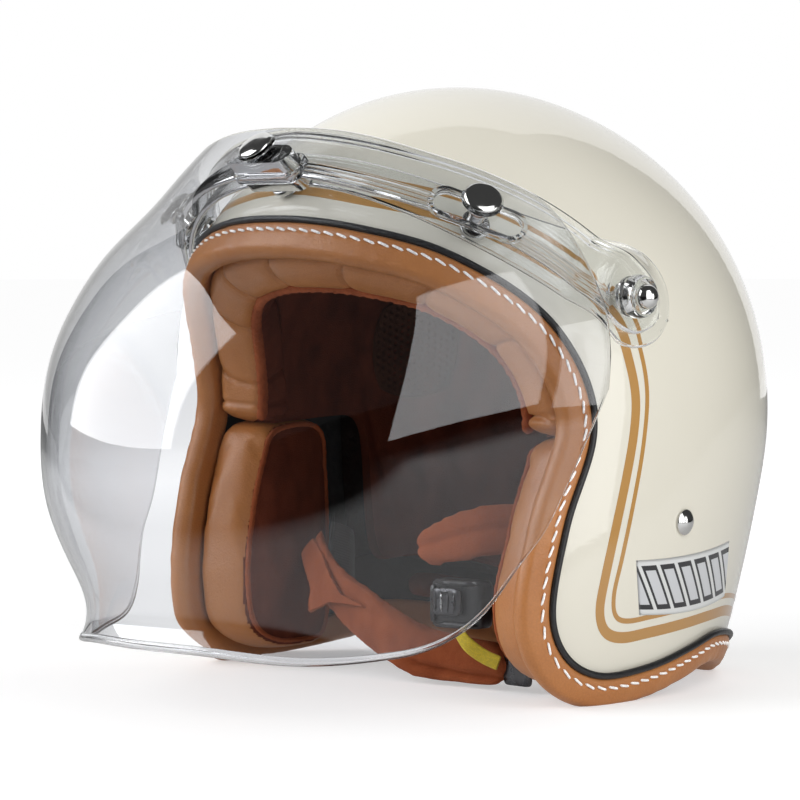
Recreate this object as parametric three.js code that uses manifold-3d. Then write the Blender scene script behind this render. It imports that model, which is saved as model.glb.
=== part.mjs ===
// Open face motorcycle helmet with a flip-up bubble shield.
// Millimetres, +Z up, -Y to the wearer's front, +X to the wearer's left.
// Shapes are worked out about the centre of the shell and the whole group is then set on the ground.
import * as THREE from 'three';
import { mergeVertices } from 'three/addons/utils/BufferGeometryUtils.js';
import Module from 'manifold-3d';

const wasm = await Module();
wasm.setup();

// Driving dimensions.
const shell = {
  halfWidth: 117.7, front: 127.3, back: 141.1, top: 136.5, bottom: 302, power: 2.1,
  pitch: THREE.MathUtils.degToRad(15.12), wall: 3
};
const ground = -110.8;                        // height of the ground below the shell centre
const originY = 25.7;                         // shell centre behind the middle of the whole helmet
const rimSteps = 56;
const shellRings = 8;
const liningRings = 6;
const pole = new THREE.Vector3(0, 0.4, 0.917).normalize();
const gap = 0.35;                             // clearance between pieces that touch
const trim = { width: 12.6, depth: 8.8, lift: 2 };
const piping = { radius: 1.25, back: 1.15 };
const foam = { outer: 4.8, inner: 24, start: 16 };
const liner = { outer: 24.8, inner: 31 };
const brow = { front: 3.5, back: -11.5, outer: 9.4, inner: 34, end: -1 };
const neck = { front: 1, back: -12, outer: 9.4, inner: 25, startY: 52 };
const cheek = { outer: 4.8, inner: 39, top: -7, rear: 1, setBack: 1.8 };
const band = {
  tilt: Math.atan2(0.479, 0.878),             // the visor parts lie on latitudes about this tilted axis
  pivotLongitude: 20.2, pivotLatitude: 14,
  baseInner: 5.2, baseOuter: 7.4, flipInner: 11.6, flipOuter: 14
};
const pivot = {
  y: -24, z: 50, flatRadius: 14, blendRadius: 25, bore: 3.4,
  baseFlats: [6.4, 8.6], flipFlats: [11, 13.4]   // distances out from the shell at the pivot
};
const snapPlaces = {                          // longitude and latitude of the three snaps
  centre: [90, 15.8],
  left: [50.6, 15],
  right: [129.4, 15]
};
const snapHole = 2.6;
const slot = { length: 36, width: 9.5, rimWidth: 2.2, rimHeight: 1 };
const shield = {
  centreY: -30, wall: 2, side: 84,
  heights: [-90, -84, -78, -60, -35, -5, 25, 50, 70, 85, 100, 115, 130],
  halfWidths: [108, 110.5, 113.5, 119.8, 124.4, 129.2, 132, 127.7, 118, 107, 96.3, 85.9, 75.5],
  depths: [151, 145.5, 142.5, 148.2, 160.5, 162, 154.7, 139.6, 121.9, 104.4, 89.7, 73.3, 57.2],
  edgeAngles: [0, 20, 40, 52, 61, 67, 72, 76.6, 80.5, 84],
  bottomEdge: [-84, -85, -88, -86.4, -80, -66, -50, -34, -9, 15],
  topEdge: [117, 115.6, 110, 104.6, 100, 96, 92, 87, 74, 45]
};
const strapWidth = 22;
const strapThick = 2.2;

const tan = new THREE.MeshStandardMaterial({ color: 0xb8763c, roughness: 0.5 });
const suede = new THREE.MeshStandardMaterial({ color: 0x6b2c16, roughness: 0.95 });
const darkSuede = new THREE.MeshStandardMaterial({ color: 0x45190f, roughness: 0.95 });
const cream = new THREE.MeshStandardMaterial({ color: 0xe6e0cf, roughness: 0.15 });
const foamBlack = new THREE.MeshStandardMaterial({ color: 0x202020, roughness: 0.9 });
const blackRubber = new THREE.MeshStandardMaterial({ color: 0x1b1c1e, roughness: 0.5 });
const clear = new THREE.MeshStandardMaterial({ color: 0xe8eaec, roughness: 0.05, transparent: true, opacity: 0.35 });
const chrome = new THREE.MeshStandardMaterial({ color: 0xc9cbcd, roughness: 0.15, metalness: 1 });
const webbing = new THREE.MeshStandardMaterial({ color: 0x151515, roughness: 0.9 });
const buckleBlack = new THREE.MeshStandardMaterial({ color: 0x181818, roughness: 0.4 });
const yellow = new THREE.MeshStandardMaterial({ color: 0xe3c21c, roughness: 0.6 });

const helmet = new THREE.Group();
helmet.position.set(0, originY, -ground);

// ---- small tools ----

const V = (x, y, z) => new THREE.Vector3(x, y, z);
const mix = (a, b, t) => a + (b - a) * t;

// Collects triangles, then welds them into one closed body whose faces point outwards.
class Skin {
  constructor() { this.corners = []; }
  tri(a, b, c) { this.corners.push(a, b, c); }
  quad(a, b, c, d) { this.tri(a, b, c); this.tri(a, c, d); }
  fan(centre, loop) { loop.forEach((p, i) => this.tri(centre, p, loop[(i + 1) % loop.length])); }
  geometry() {
    const positions = new Float32Array(this.corners.flatMap((p) => [p.x, p.y, p.z]));
    const soup = new THREE.BufferGeometry();
    soup.setAttribute('position', new THREE.BufferAttribute(positions, 3));
    const welded = mergeVertices(soup, 2e-3);
    const index = welded.index.array;
    const kept = [];
    for (let i = 0; i < index.length; i += 3) {
      const [a, b, c] = [index[i], index[i + 1], index[i + 2]];
      if (a !== b && b !== c && c !== a) kept.push(a, b, c);
    }
    welded.setIndex(kept);
    if (signedVolume(welded) < 0) {
      for (let i = 0; i < kept.length; i += 3) [kept[i + 1], kept[i + 2]] = [kept[i + 2], kept[i + 1]];
      welded.setIndex(kept);
    }
    return welded;
  }
}

function signedVolume(geometry) {
  const at = geometry.attributes.position;
  const index = geometry.index.array;
  const point = (i) => V(at.getX(index[i]), at.getY(index[i]), at.getZ(index[i]));
  let sum = 0;
  for (let i = 0; i < index.length; i += 3) sum += point(i).dot(point(i + 1).cross(point(i + 2)));
  return sum / 6;
}

function solid(geometry) {
  const bare = geometry.clone();
  bare.deleteAttribute('normal');
  bare.deleteAttribute('uv');
  const welded = mergeVertices(bare, 1e-3);
  return new wasm.Manifold(new wasm.Mesh({
    numProp: 3,
    vertProperties: new Float32Array(welded.attributes.position.array),
    triVerts: new Uint32Array(welded.index.array)
  }));
}

function fromSolid(body) {
  const mesh = body.getMesh();
  const geometry = new THREE.BufferGeometry();
  geometry.setAttribute('position', new THREE.BufferAttribute(new Float32Array(mesh.vertProperties), 3));
  geometry.setIndex(Array.from(mesh.triVerts));
  return geometry;
}

function add(name, geometry, material) {
  const mesh = new THREE.Mesh(geometry, material);
  mesh.name = name;
  helmet.add(mesh);
}

// Mirrors a piece of the left side to the right side.
function mirrored(geometry) {
  const copy = geometry.clone();
  copy.scale(-1, 1, 1);
  const index = copy.index.array;
  for (let i = 0; i < index.length; i += 3) [index[i + 1], index[i + 2]] = [index[i + 2], index[i + 1]];
  return copy;
}

function addPair(name, geometry, material) {
  add(`${name}_left`, geometry, material);
  add(`${name}_right`, mirrored(geometry), material);
}

// Natural cubic through hand-set knots.
function curveThrough(xs, ys) {
  const n = xs.length;
  const bend = new Array(n).fill(0);
  const work = new Array(n).fill(0);
  for (let i = 1; i < n - 1; i++) {
    const part = (xs[i] - xs[i - 1]) / (xs[i + 1] - xs[i - 1]);
    const down = part * bend[i - 1] + 2;
    bend[i] = (part - 1) / down;
    const slope = (ys[i + 1] - ys[i]) / (xs[i + 1] - xs[i]) - (ys[i] - ys[i - 1]) / (xs[i] - xs[i - 1]);
    work[i] = (6 * slope / (xs[i + 1] - xs[i - 1]) - part * work[i - 1]) / down;
  }
  for (let i = n - 2; i >= 0; i--) bend[i] = bend[i] * bend[i + 1] + work[i];
  return (x) => {
    let k = 1;
    while (k < n - 1 && x > xs[k]) k++;
    const width = xs[k] - xs[k - 1];
    const a = (xs[k] - x) / width;
    const b = (x - xs[k - 1]) / width;
    return a * ys[k - 1] + b * ys[k] + ((a ** 3 - a) * bend[k - 1] + (b ** 3 - b) * bend[k]) * width ** 2 / 6;
  };
}

// ---- the shell's surface ----

// Egg of the shell in its own pitched axes: |x/a|^p + |y/b|^p + |z/c|^p = 1.
function pitched(v) {
  const c = Math.cos(shell.pitch);
  const s = Math.sin(shell.pitch);
  return V(v.x, c * v.y - s * v.z, s * v.y + c * v.z);
}

function semiAxes(v) {
  return [shell.halfWidth, v.y < 0 ? shell.front : shell.back, v.z > 0 ? shell.top : shell.bottom];
}

function onShell(direction) {
  const v = pitched(direction);
  const [a, b, c] = semiAxes(v);
  const p = shell.power;
  const sum = Math.abs(v.x / a) ** p + Math.abs(v.y / b) ** p + Math.abs(v.z / c) ** p;
  return direction.clone().multiplyScalar(sum ** (-1 / p));
}

function shellNormal(point) {
  const v = pitched(point);
  const [a, b, c] = semiAxes(v);
  const part = (value, axis) => Math.sign(value) * Math.abs(value / axis) ** (shell.power - 1) / axis;
  const g = V(part(v.x, a), part(v.y, b), part(v.z, c));
  const cos = Math.cos(shell.pitch);
  const sin = Math.sin(shell.pitch);
  return V(g.x, cos * g.y + sin * g.z, -sin * g.y + cos * g.z).normalize();
}

function offShell(direction, out) {
  const base = onShell(direction);
  return base.addScaledVector(shellNormal(base), out);
}

function between(a, b, t) {
  const angle = a.angleTo(b);
  const s = Math.sin(angle);
  return a.clone().multiplyScalar(Math.sin((1 - t) * angle) / s).addScaledVector(b, Math.sin(t * angle) / s);
}

// The rim: brow, temple, cheek, chin corner, below the ear and nape, on the left side.
const rimLeft = [
  [0, -103.3, 78], [42.8, -96.8, 74.6], [76.8, -78.5, 64.2], [104.9, -50.5, 36.3], [113.3, -38.4, 1.1],
  [111.3, -51.9, -39.5], [109.2, -57.5, -76], [110.1, -50, -91.5], [111.2, -33.6, -99.5],
  [111.5, -6, -98.8], [107.3, 26.2, -93.2], [99, 49, -88.5], [78, 76, -90], [45, 95, -96], [0, 104, -99.5]
];
const rimRight = rimLeft.slice(1, -1).reverse().map(([x, y, z]) => [-x, y, z]);
const rimCurve = new THREE.CatmullRomCurve3(
  [...rimLeft, ...rimRight].map(([x, y, z]) => onShell(V(x, y, z).normalize())), true, 'centripetal');
rimCurve.arcLengthDivisions = 800;

// One station of the rim: its point, the shell's normal, and the way off the shell's edge.
const rim = rimCurve.getSpacedPoints(rimSteps).slice(0, rimSteps).map((p) => {
  const direction = p.clone().normalize();
  const point = onShell(direction);
  return { direction, point, normal: shellNormal(point) };
});
rim.forEach((station, i) => {
  const ahead = rim[(i + 1) % rimSteps].point;
  const behind = rim[(i + rimSteps - 1) % rimSteps].point;
  station.along = ahead.clone().sub(behind).normalize();
  station.off = station.normal.clone().cross(station.along).normalize();
  const inward = between(station.direction, pole, 0.05).sub(station.direction);
  if (station.off.dot(inward) > 0) station.off.negate();
});

const place = (station, e, n) => {
  const p = station.point.clone().addScaledVector(station.off, e).addScaledVector(station.normal, n);
  p.z = Math.max(p.z, ground);
  return p;
};

// Domed layer of the helmet, from depth `outer` to depth `inner`, its edge `start` mm in from the rim.
function dome(outer, inner, start, rings) {
  const skin = new Skin();
  const ray = rim.map(({ direction, point, off }) => {
    const inward = between(direction, pole, 0.02).sub(direction).normalize();
    const reach = point.length() * direction.angleTo(pole) * Math.max(0.55, Math.abs(inward.dot(off)));
    const first = start / reach;
    return Array.from({ length: rings + 1 }, (_, j) => between(direction, pole, mix(first, 1, j / rings)));
  });
  const grid = (out) => ray.map((line) => line.map((d) => offShell(d, out)));
  const high = grid(-outer);
  const low = grid(-inner);
  for (let i = 0; i < rimSteps; i++) {
    const k = (i + 1) % rimSteps;
    for (let j = 0; j < rings; j++) {
      skin.quad(high[i][j], high[k][j], high[k][j + 1], high[i][j + 1]);
      skin.quad(low[i][j], low[i][j + 1], low[k][j + 1], low[k][j]);
    }
    skin.quad(low[i][0], low[k][0], high[k][0], high[i][0]);
  }
  return skin.geometry();
}

// Sweeps a closed section of [off the edge, off the surface] pairs along rim stations.
function rimSweep(stations, section, closed) {
  const skin = new Skin();
  const rings = stations.map((s) => section.map(([e, n]) => place(s, e, n)));
  const last = closed ? rings.length : rings.length - 1;
  for (let i = 0; i < last; i++) {
    const a = rings[i];
    const b = rings[(i + 1) % rings.length];
    for (let j = 0; j < section.length; j++) {
      const k = (j + 1) % section.length;
      skin.quad(a[j], a[k], b[k], b[j]);
    }
  }
  if (!closed) {
    for (const [ring, turn] of [[rings[0], true], [rings[rings.length - 1], false]]) {
      const middle = ring.reduce((sum, p) => sum.add(p), V(0, 0, 0)).divideScalar(ring.length);
      skin.fan(middle, turn ? [...ring].reverse() : ring);
    }
  }
  return skin.geometry();
}

function ellipseSection(e0, e1, n0, n1, sides, power = 2) {
  return Array.from({ length: sides }, (_, k) => {
    const angle = 2 * Math.PI * k / sides;
    const round = (value) => Math.sign(value) * Math.abs(value) ** (2 / power);
    return [mix(e0, e1, 0.5 + 0.5 * round(Math.cos(angle))), mix(n0, n1, 0.5 + 0.5 * round(Math.sin(angle)))];
  });
}

// Turned piece: profile of [radius, height] pairs, its axis along `out` from `base`.
function turned(profile, base, out, sides = 20) {
  const lathe = new THREE.LatheGeometry(profile.map(([r, h]) => new THREE.Vector2(r, h)), sides);
  lathe.deleteAttribute('normal');
  lathe.deleteAttribute('uv');
  const turn = new THREE.Quaternion().setFromUnitVectors(V(0, 1, 0), out.clone().normalize());
  lathe.applyQuaternion(turn).translate(base.x, base.y, base.z);
  const skin = new Skin();
  const index = lathe.index.array;
  const at = lathe.attributes.position;
  const point = (i) => V(at.getX(index[i]), at.getY(index[i]), at.getZ(index[i]));
  for (let i = 0; i < index.length; i += 3) skin.tri(point(i), point(i + 1), point(i + 2));
  return skin.geometry();
}

function drill(body, base, out, radius, from, to) {
  const bit = solid(turned([[0, from], [radius, from], [radius, to], [0, to]], base, out, 18));
  return body.subtract(bit);
}

// ---- shell, trim and linings ----

function bandDirection(longitude, latitude) {
  const lon = THREE.MathUtils.degToRad(longitude);
  const lat = THREE.MathUtils.degToRad(latitude);
  const axis = V(0, Math.sin(band.tilt), Math.cos(band.tilt));
  const forward = V(0, -Math.cos(band.tilt), Math.sin(band.tilt));
  return V(Math.cos(lon) * Math.cos(lat), 0, 0)
    .addScaledVector(forward, Math.sin(lon) * Math.cos(lat))
    .addScaledVector(axis, Math.sin(lat));
}

const snaps = Object.entries(snapPlaces).map(([name, [longitude, latitude]]) => {
  const foot = onShell(bandDirection(longitude, latitude));
  const out = shellNormal(foot);
  const ahead = onShell(bandDirection(longitude + 1, latitude)).sub(foot);
  const along = ahead.addScaledVector(out, -ahead.dot(out)).normalize();
  return { name, foot, out, along };
});
const strapRivet = (() => {
  const foot = onShell(V(115.7, 14.1, -40.6).normalize());
  return { foot, out: shellNormal(foot) };
})();
const flip = (v) => V(-v.x, v.y, v.z);

function outerShell() {
  let body = solid(dome(0, shell.wall, 0, shellRings));
  for (const snap of snaps) body = drill(body, snap.foot, snap.out, 2.2, -8, 4);
  body = drill(body, strapRivet.foot, strapRivet.out, 3.2, -8, 4);
  body = drill(body, flip(strapRivet.foot), flip(strapRivet.out), 3.2, -8, 4);
  return fromSolid(body);
}

add('outer_shell', outerShell(), cream);

const trimSection = [
  [gap, 1.4], [3.5, trim.lift], [8.5, trim.lift - 0.2], [11.6, 0.6], [trim.width, -2.6],
  [12.2, -6], [9.5, -trim.depth + 0.3], [4.5, -trim.depth], [gap, -trim.depth]
];
add('edge_trim', rimSweep(rim, trimSection, true), tan);
add('edge_piping', rimSweep(rim, ellipseSection(-piping.back - piping.radius, -piping.back + piping.radius,
  0.4, 0.4 + 2 * piping.radius, 6), true), blackRubber);

const byBrow = [];
for (let i = -rimSteps / 2; i < rimSteps / 2; i++) {
  const station = rim[(i + rimSteps) % rimSteps];
  if (station.point.z > brow.end && station.point.y < 0) byBrow.push(station);
}
add('brow_pad', rimSweep(byBrow, ellipseSection(brow.back, brow.front, -brow.inner, -brow.outer, 12, 3), false), tan);

const byNape = rim.filter((station) => station.point.y > neck.startY);
add('neck_roll', rimSweep(byNape, ellipseSection(neck.back, neck.front, -neck.inner, -neck.outer, 10, 2.6), false),
  suede);

// The foam and the comfort liner leave room for the cheek pads, straps and brow pad.
const cheekRoom = solid(new THREE.BoxGeometry(300, 200, 200).translate(0, 34 - 100, -4 - 100));
const browRoom = solid(rimSweep(byBrow, ellipseSection(brow.back - 2.5, 12, -brow.inner - 6, -1, 8, 7), false));
const lining = (layer, start) => {
  const body = solid(dome(layer.outer, layer.inner, start, liningRings));
  return body.subtract(cheekRoom).subtract(browRoom);
};
let foamBody = lining(foam, foam.start);
for (const snap of snaps) foamBody = drill(foamBody, snap.foot, snap.out, 6, -9, 4);
add('foam_liner', fromSolid(foamBody), foamBlack);
add('crown_liner', fromSolid(lining(liner, foam.start + 1)), suede);

// Pad on the shell's inner face: a loop of surface points drawn in towards a middle, rounded at its edge.
function padOnShell(loop, middle, outer, inner, rings = 4) {
  const skin = new Skin();
  const ring = (t, depth) => loop.map((d) => offShell(between(d, middle, t), -depth));
  const layers = [ring(0.06, outer), ring(0, outer + 3), ring(0, inner - 9)];
  for (let k = 0; k < rings; k++) {
    const t = 0.07 + 0.93 * k / rings;
    layers.push(ring(t, inner - 4 * (1 - Math.sqrt(Math.min(1, 2.2 * t)))));
  }
  for (let k = 0; k + 1 < layers.length; k++) {
    for (let i = 0; i < loop.length; i++) {
      const j = (i + 1) % loop.length;
      skin.quad(layers[k][i], layers[k][j], layers[k + 1][j], layers[k + 1][i]);
    }
  }
  skin.fan(offShell(middle, -inner), layers[layers.length - 1]);
  const back = ring(0.5, outer);
  for (let i = 0; i < loop.length; i++) {
    const j = (i + 1) % loop.length;
    skin.quad(back[i], back[j], layers[0][j], layers[0][i]);
  }
  skin.fan(offShell(middle, -outer), [...back].reverse());
  return skin.geometry();
}

function cheekLoop() {
  const loop = [];
  for (const station of rim) {
    const { x, y, z } = station.point;
    if (x > 0 && z < cheek.top - 6 && y < cheek.rear - 4) {
      loop.push(place(station, -cheek.setBack, 0).normalize());
    }
  }
  const last = loop[loop.length - 1];
  const first = loop[0];
  const sideSpot = (y, z) => onShell(V(115, y, z).normalize());
  const bottomZ = onShell(last).z;
  const topY = onShell(first).y;
  for (const t of [0.06, 0.3, 0.55, 0.8]) loop.push(sideSpot(cheek.rear, mix(bottomZ, cheek.top, t)).normalize());
  for (const t of [0.03, 0.35, 0.7]) loop.push(sideSpot(mix(cheek.rear - 4, topY, t), cheek.top).normalize());
  return loop;
}
const cheekMiddle = onShell(V(114, -26, -54).normalize()).normalize();
const cheekPad = padOnShell(cheekLoop(), cheekMiddle, cheek.outer, cheek.inner);
addPair('cheek_pad', cheekPad, tan);

// Net panel let into the lining behind each temple.
function netPanel() {
  const middle = onShell(V(77, 42, 24).normalize()).normalize();
  const up = V(0, 0, 1).addScaledVector(middle, -middle.z).normalize();
  const across = up.clone().cross(middle);
  const corners = Array.from({ length: 20 }, (_, k) => {
    const angle = 2 * Math.PI * k / 20;
    const spot = middle.clone().addScaledVector(across, 0.21 * Math.cos(angle));
    return spot.addScaledVector(up, 0.24 * Math.sin(angle)).normalize();
  });
  const skin = new Skin();
  const loop = (t, depth) => corners.map((d) => offShell(between(d, middle, t), -depth));
  const layers = [loop(0.5, 33.8), loop(0, 33.8), loop(0, 35.2), loop(0.5, 35.2)];
  for (let k = 0; k + 1 < layers.length; k++) {
    for (let i = 0; i < corners.length; i++) {
      const j = (i + 1) % corners.length;
      skin.quad(layers[k][i], layers[k][j], layers[k + 1][j], layers[k + 1][i]);
    }
  }
  skin.fan(offShell(middle, -33.8), [...layers[0]].reverse());
  skin.fan(offShell(middle, -35.2), layers[3]);
  return skin.geometry();
}
addPair('net_panel', netPanel(), darkSuede);

// ---- visor: base strip, flip band, pivots ----

const pivotFoot = V(onShell(bandDirection(band.pivotLongitude, band.pivotLatitude)).x, pivot.y, pivot.z);
const sideways = V(1, 0, 0);

// Each layer turns flat and square to the pivot where the hardware sits on it.
function flattened(p, flat) {
  const distance = Math.hypot(p.y - pivot.y, p.z - pivot.z);
  const t = THREE.MathUtils.smoothstep(distance, pivot.flatRadius, pivot.blendRadius);
  p.x = Math.sign(p.x) * mix(pivotFoot.x + flat, Math.abs(p.x), t);
  return p;
}

// Strip along the band's longitude with its own edges in latitude.
function strip(longitudes, lowEdge, highEdge, [inner, outer], [innerFlat, outerFlat], across) {
  const skin = new Skin();
  const grid = (out, flat) => longitudes.map((longitude) => Array.from({ length: across + 1 }, (_, k) =>
    flattened(offShell(bandDirection(longitude, mix(lowEdge(longitude), highEdge(longitude), k / across)), out), flat)));
  const top = grid(outer, outerFlat);
  const under = grid(inner, innerFlat);
  const end = longitudes.length - 1;
  for (let i = 0; i < end; i++) {
    for (let k = 0; k < across; k++) {
      skin.quad(top[i][k], top[i + 1][k], top[i + 1][k + 1], top[i][k + 1]);
      skin.quad(under[i][k], under[i][k + 1], under[i + 1][k + 1], under[i + 1][k]);
    }
    skin.quad(under[i][0], under[i + 1][0], top[i + 1][0], top[i][0]);
    skin.quad(top[i][across], top[i + 1][across], under[i + 1][across], under[i][across]);
  }
  for (let k = 0; k < across; k++) {
    skin.quad(top[0][k], top[0][k + 1], under[0][k + 1], under[0][k]);
    skin.quad(under[end][k], under[end][k + 1], top[end][k + 1], top[end][k]);
  }
  return skin.geometry();
}

// Longitudes from ear to ear, closer together where the ends are round.
const sweep = (start, steps) => Array.from({ length: steps + 1 }, (_, i) =>
  mix(start, 180 - start, (i / steps) - Math.sin(4 * Math.PI * i / steps) / (4 * Math.PI) * 0.35));
const fold = (longitude) => Math.min(longitude, 180 - longitude);

const ear = { longitude: 19, latitude: 16.2, radius: 9 };
const earHalf = (f) => Math.sqrt(Math.max(0.6, ear.radius ** 2 - (f - ear.longitude) ** 2));
const baseLowKnots = curveThrough([19, 24, 30, 45, 60, 75, 90], [7.2, 8.2, 9.2, 11, 12.8, 14.6, 15.6]);
const baseHighKnots = curveThrough([19, 24, 30, 45, 60, 75, 90], [25.2, 24.2, 22.2, 19.4, 19.4, 20.2, 20.8]);
const baseLow = (longitude) => {
  const f = fold(longitude);
  return f < ear.longitude ? ear.latitude - earHalf(f) : baseLowKnots(f);
};
const baseHigh = (longitude) => {
  const f = fold(longitude);
  return f < ear.longitude ? ear.latitude + earHalf(f) : baseHighKnots(f);
};
const flipLow = curveThrough([14, 20, 26, 34, 45, 60, 90], [10.4, 8.6, 9.2, 11.2, 12.8, 13.4, 15.4]);
const flipHigh = curveThrough([14, 20, 26, 34, 45, 60, 90], [17.6, 19.4, 20, 21.4, 22.8, 23.2, 24.4]);

function bored(body, radius) {
  body = drill(body, pivotFoot, sideways, radius, -10, 30);
  return drill(body, flip(pivotFoot), flip(sideways), radius, -10, 30);
}

function baseStrip() {
  let body = solid(strip(sweep(10, 36), baseLow, baseHigh, [band.baseInner, band.baseOuter], pivot.baseFlats, 3));
  for (const snap of snaps) body = drill(body, snap.foot, snap.out, snapHole, 0, 12);
  return fromSolid(bored(body, pivot.bore));
}
add('visor_base_strip', baseStrip(), clear);

// Long hole along the band, round at both ends.
function slotTool(snap, grow, from, to) {
  const along = snap.along;
  const half = slot.length / 2 - slot.width / 2;
  const outline = new THREE.Shape();
  const radius = slot.width / 2 + grow;
  outline.absarc(half, 0, radius, -Math.PI / 2, Math.PI / 2, false);
  outline.absarc(-half, 0, radius, Math.PI / 2, 3 * Math.PI / 2, false);
  const bar = new THREE.ExtrudeGeometry(outline, { depth: to - from, bevelEnabled: false, curveSegments: 6 });
  const turn = new THREE.Matrix4().makeBasis(along, snap.out.clone().cross(along), snap.out);
  bar.applyMatrix4(turn);
  const base = snap.foot.clone().addScaledVector(snap.out, from);
  return solid(bar.translate(base.x, base.y, base.z));
}
function flipBand() {
  let body = solid(strip(sweep(14, 36), (l) => flipLow(fold(l)), (l) => flipHigh(fold(l)),
    [band.flipInner, band.flipOuter], pivot.flipFlats, 3));
  for (const snap of snaps) {
    const rimBar = slotTool(snap, slot.rimWidth, band.flipInner - 0.4, band.flipOuter + slot.rimHeight);
    body = body.add(rimBar).subtract(slotTool(snap, 0, 0, 24));
  }
  return fromSolid(bored(body, pivot.bore));
}
add('flip_band', flipBand(), clear);

// Pivot: nut behind the base strip's ear, spacer, and a ball-headed screw through a clear collar.
const onPivot = (profile, sides) => turned(profile, pivotFoot, sideways, sides);
const ring = (inner, outer, from, to) => [[inner, from], [outer, from], [outer, to], [inner, to], [inner, from]];
const [, baseFlat] = pivot.baseFlats;
const [flipUnder, flipFlat] = pivot.flipFlats;
addPair('pivot_nut', onPivot([[0, 3.4], [5.4, 3.4], [5.4, 6], [0, 6]], 6), chrome);
addPair('pivot_spacer', onPivot(ring(pivot.bore, 8, baseFlat + gap, flipUnder - gap), 20), clear);
const collar = flipFlat + gap;
addPair('pivot_collar', onPivot([[pivot.bore, collar], [8.6, collar], [8.6, collar + 2.6], [7.6, collar + 5],
  [6.4, collar + 5], [5.4, collar + 2.4], [pivot.bore, collar + 2.4], [pivot.bore, collar]], 20), clear);
addPair('pivot_screw', onPivot([[0, 6.4], [3, 6.4], [3, collar + 2.8], [4.6, collar + 3.6], [5, collar + 5.4],
  [4.6, collar + 7.4], [3, collar + 9], [0, collar + 9.7]], 16), chrome);

// ---- snaps and bubble shield ----

const halfWidthAt = curveThrough(shield.heights, shield.halfWidths);
const depthAt = curveThrough(shield.heights, shield.depths);
const bottomAt = curveThrough(shield.edgeAngles, shield.bottomEdge);
const topAt = curveThrough(shield.edgeAngles, shield.topEdge);

// Each level of the shield is half of an ellipse about a line through centreY.
function onShield(degrees, z) {
  const angle = THREE.MathUtils.degToRad(degrees);
  return V(halfWidthAt(z) * Math.sin(angle), shield.centreY - depthAt(z) * Math.cos(angle), z);
}

function shieldNormal(degrees, z) {
  const step = 0.5;
  const across = onShield(degrees + step, z).sub(onShield(degrees - step, z));
  const up = onShield(degrees, z + step).sub(onShield(degrees, z - step));
  return across.cross(up).normalize();
}

// A snap leaves the band's slot square to the shield: finds its axis and how far off the shield is.
for (const snap of snaps) {
  snap.seat = snap.foot.clone().addScaledVector(snap.out, (band.flipInner + band.flipOuter) / 2);
  snap.axis = snap.out.clone();
  for (let i = 0; i < 12; i++) {
    let near = 2;
    let far = 30;
    for (let k = 0; k < 40; k++) {
      snap.reach = (near + far) / 2;
      const p = snap.seat.clone().addScaledVector(snap.axis, snap.reach);
      const level = Math.hypot(p.x / halfWidthAt(p.z), (p.y - shield.centreY) / depthAt(p.z));
      if (level > 1) far = snap.reach;
      else near = snap.reach;
    }
    const p = snap.seat.clone().addScaledVector(snap.axis, snap.reach);
    const angle = Math.atan2(p.x / halfWidthAt(p.z), (shield.centreY - p.y) / depthAt(p.z));
    snap.axis = shieldNormal(THREE.MathUtils.radToDeg(angle), p.z);
  }
}

function shieldSkin() {
  const skin = new Skin();
  const columns = 28;
  const rows = 11;
  const at = (i, j, out) => {
    const degrees = shield.side * Math.sin(Math.PI * (i / columns - 0.5));
    const low = bottomAt(Math.abs(degrees));
    const height = mix(low, topAt(Math.abs(degrees)), (j / rows) ** 1.4);
    return onShield(degrees, height).addScaledVector(shieldNormal(degrees, height), out);
  };
  const outer = [];
  const inner = [];
  for (let i = 0; i <= columns; i++) {
    outer.push(Array.from({ length: rows + 1 }, (_, j) => at(i, j, 0)));
    inner.push(Array.from({ length: rows + 1 }, (_, j) => at(i, j, -shield.wall)));
  }
  for (let i = 0; i < columns; i++) {
    for (let j = 0; j < rows; j++) {
      skin.quad(outer[i][j], outer[i + 1][j], outer[i + 1][j + 1], outer[i][j + 1]);
      skin.quad(inner[i][j], inner[i][j + 1], inner[i + 1][j + 1], inner[i + 1][j]);
    }
    skin.quad(inner[i][0], inner[i + 1][0], outer[i + 1][0], outer[i][0]);
    skin.quad(outer[i][rows], outer[i + 1][rows], inner[i + 1][rows], inner[i][rows]);
  }
  for (let j = 0; j < rows; j++) {
    skin.quad(outer[0][j], outer[0][j + 1], inner[0][j + 1], inner[0][j]);
    skin.quad(inner[columns][j], inner[columns][j + 1], outer[columns][j + 1], outer[columns][j]);
  }
  return skin.geometry();
}

let shieldBody = solid(shieldSkin());
for (const snap of snaps) shieldBody = drill(shieldBody, snap.seat, snap.axis, snapHole, 2, 30);
add('bubble_shield', fromSolid(shieldBody), clear);

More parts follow.
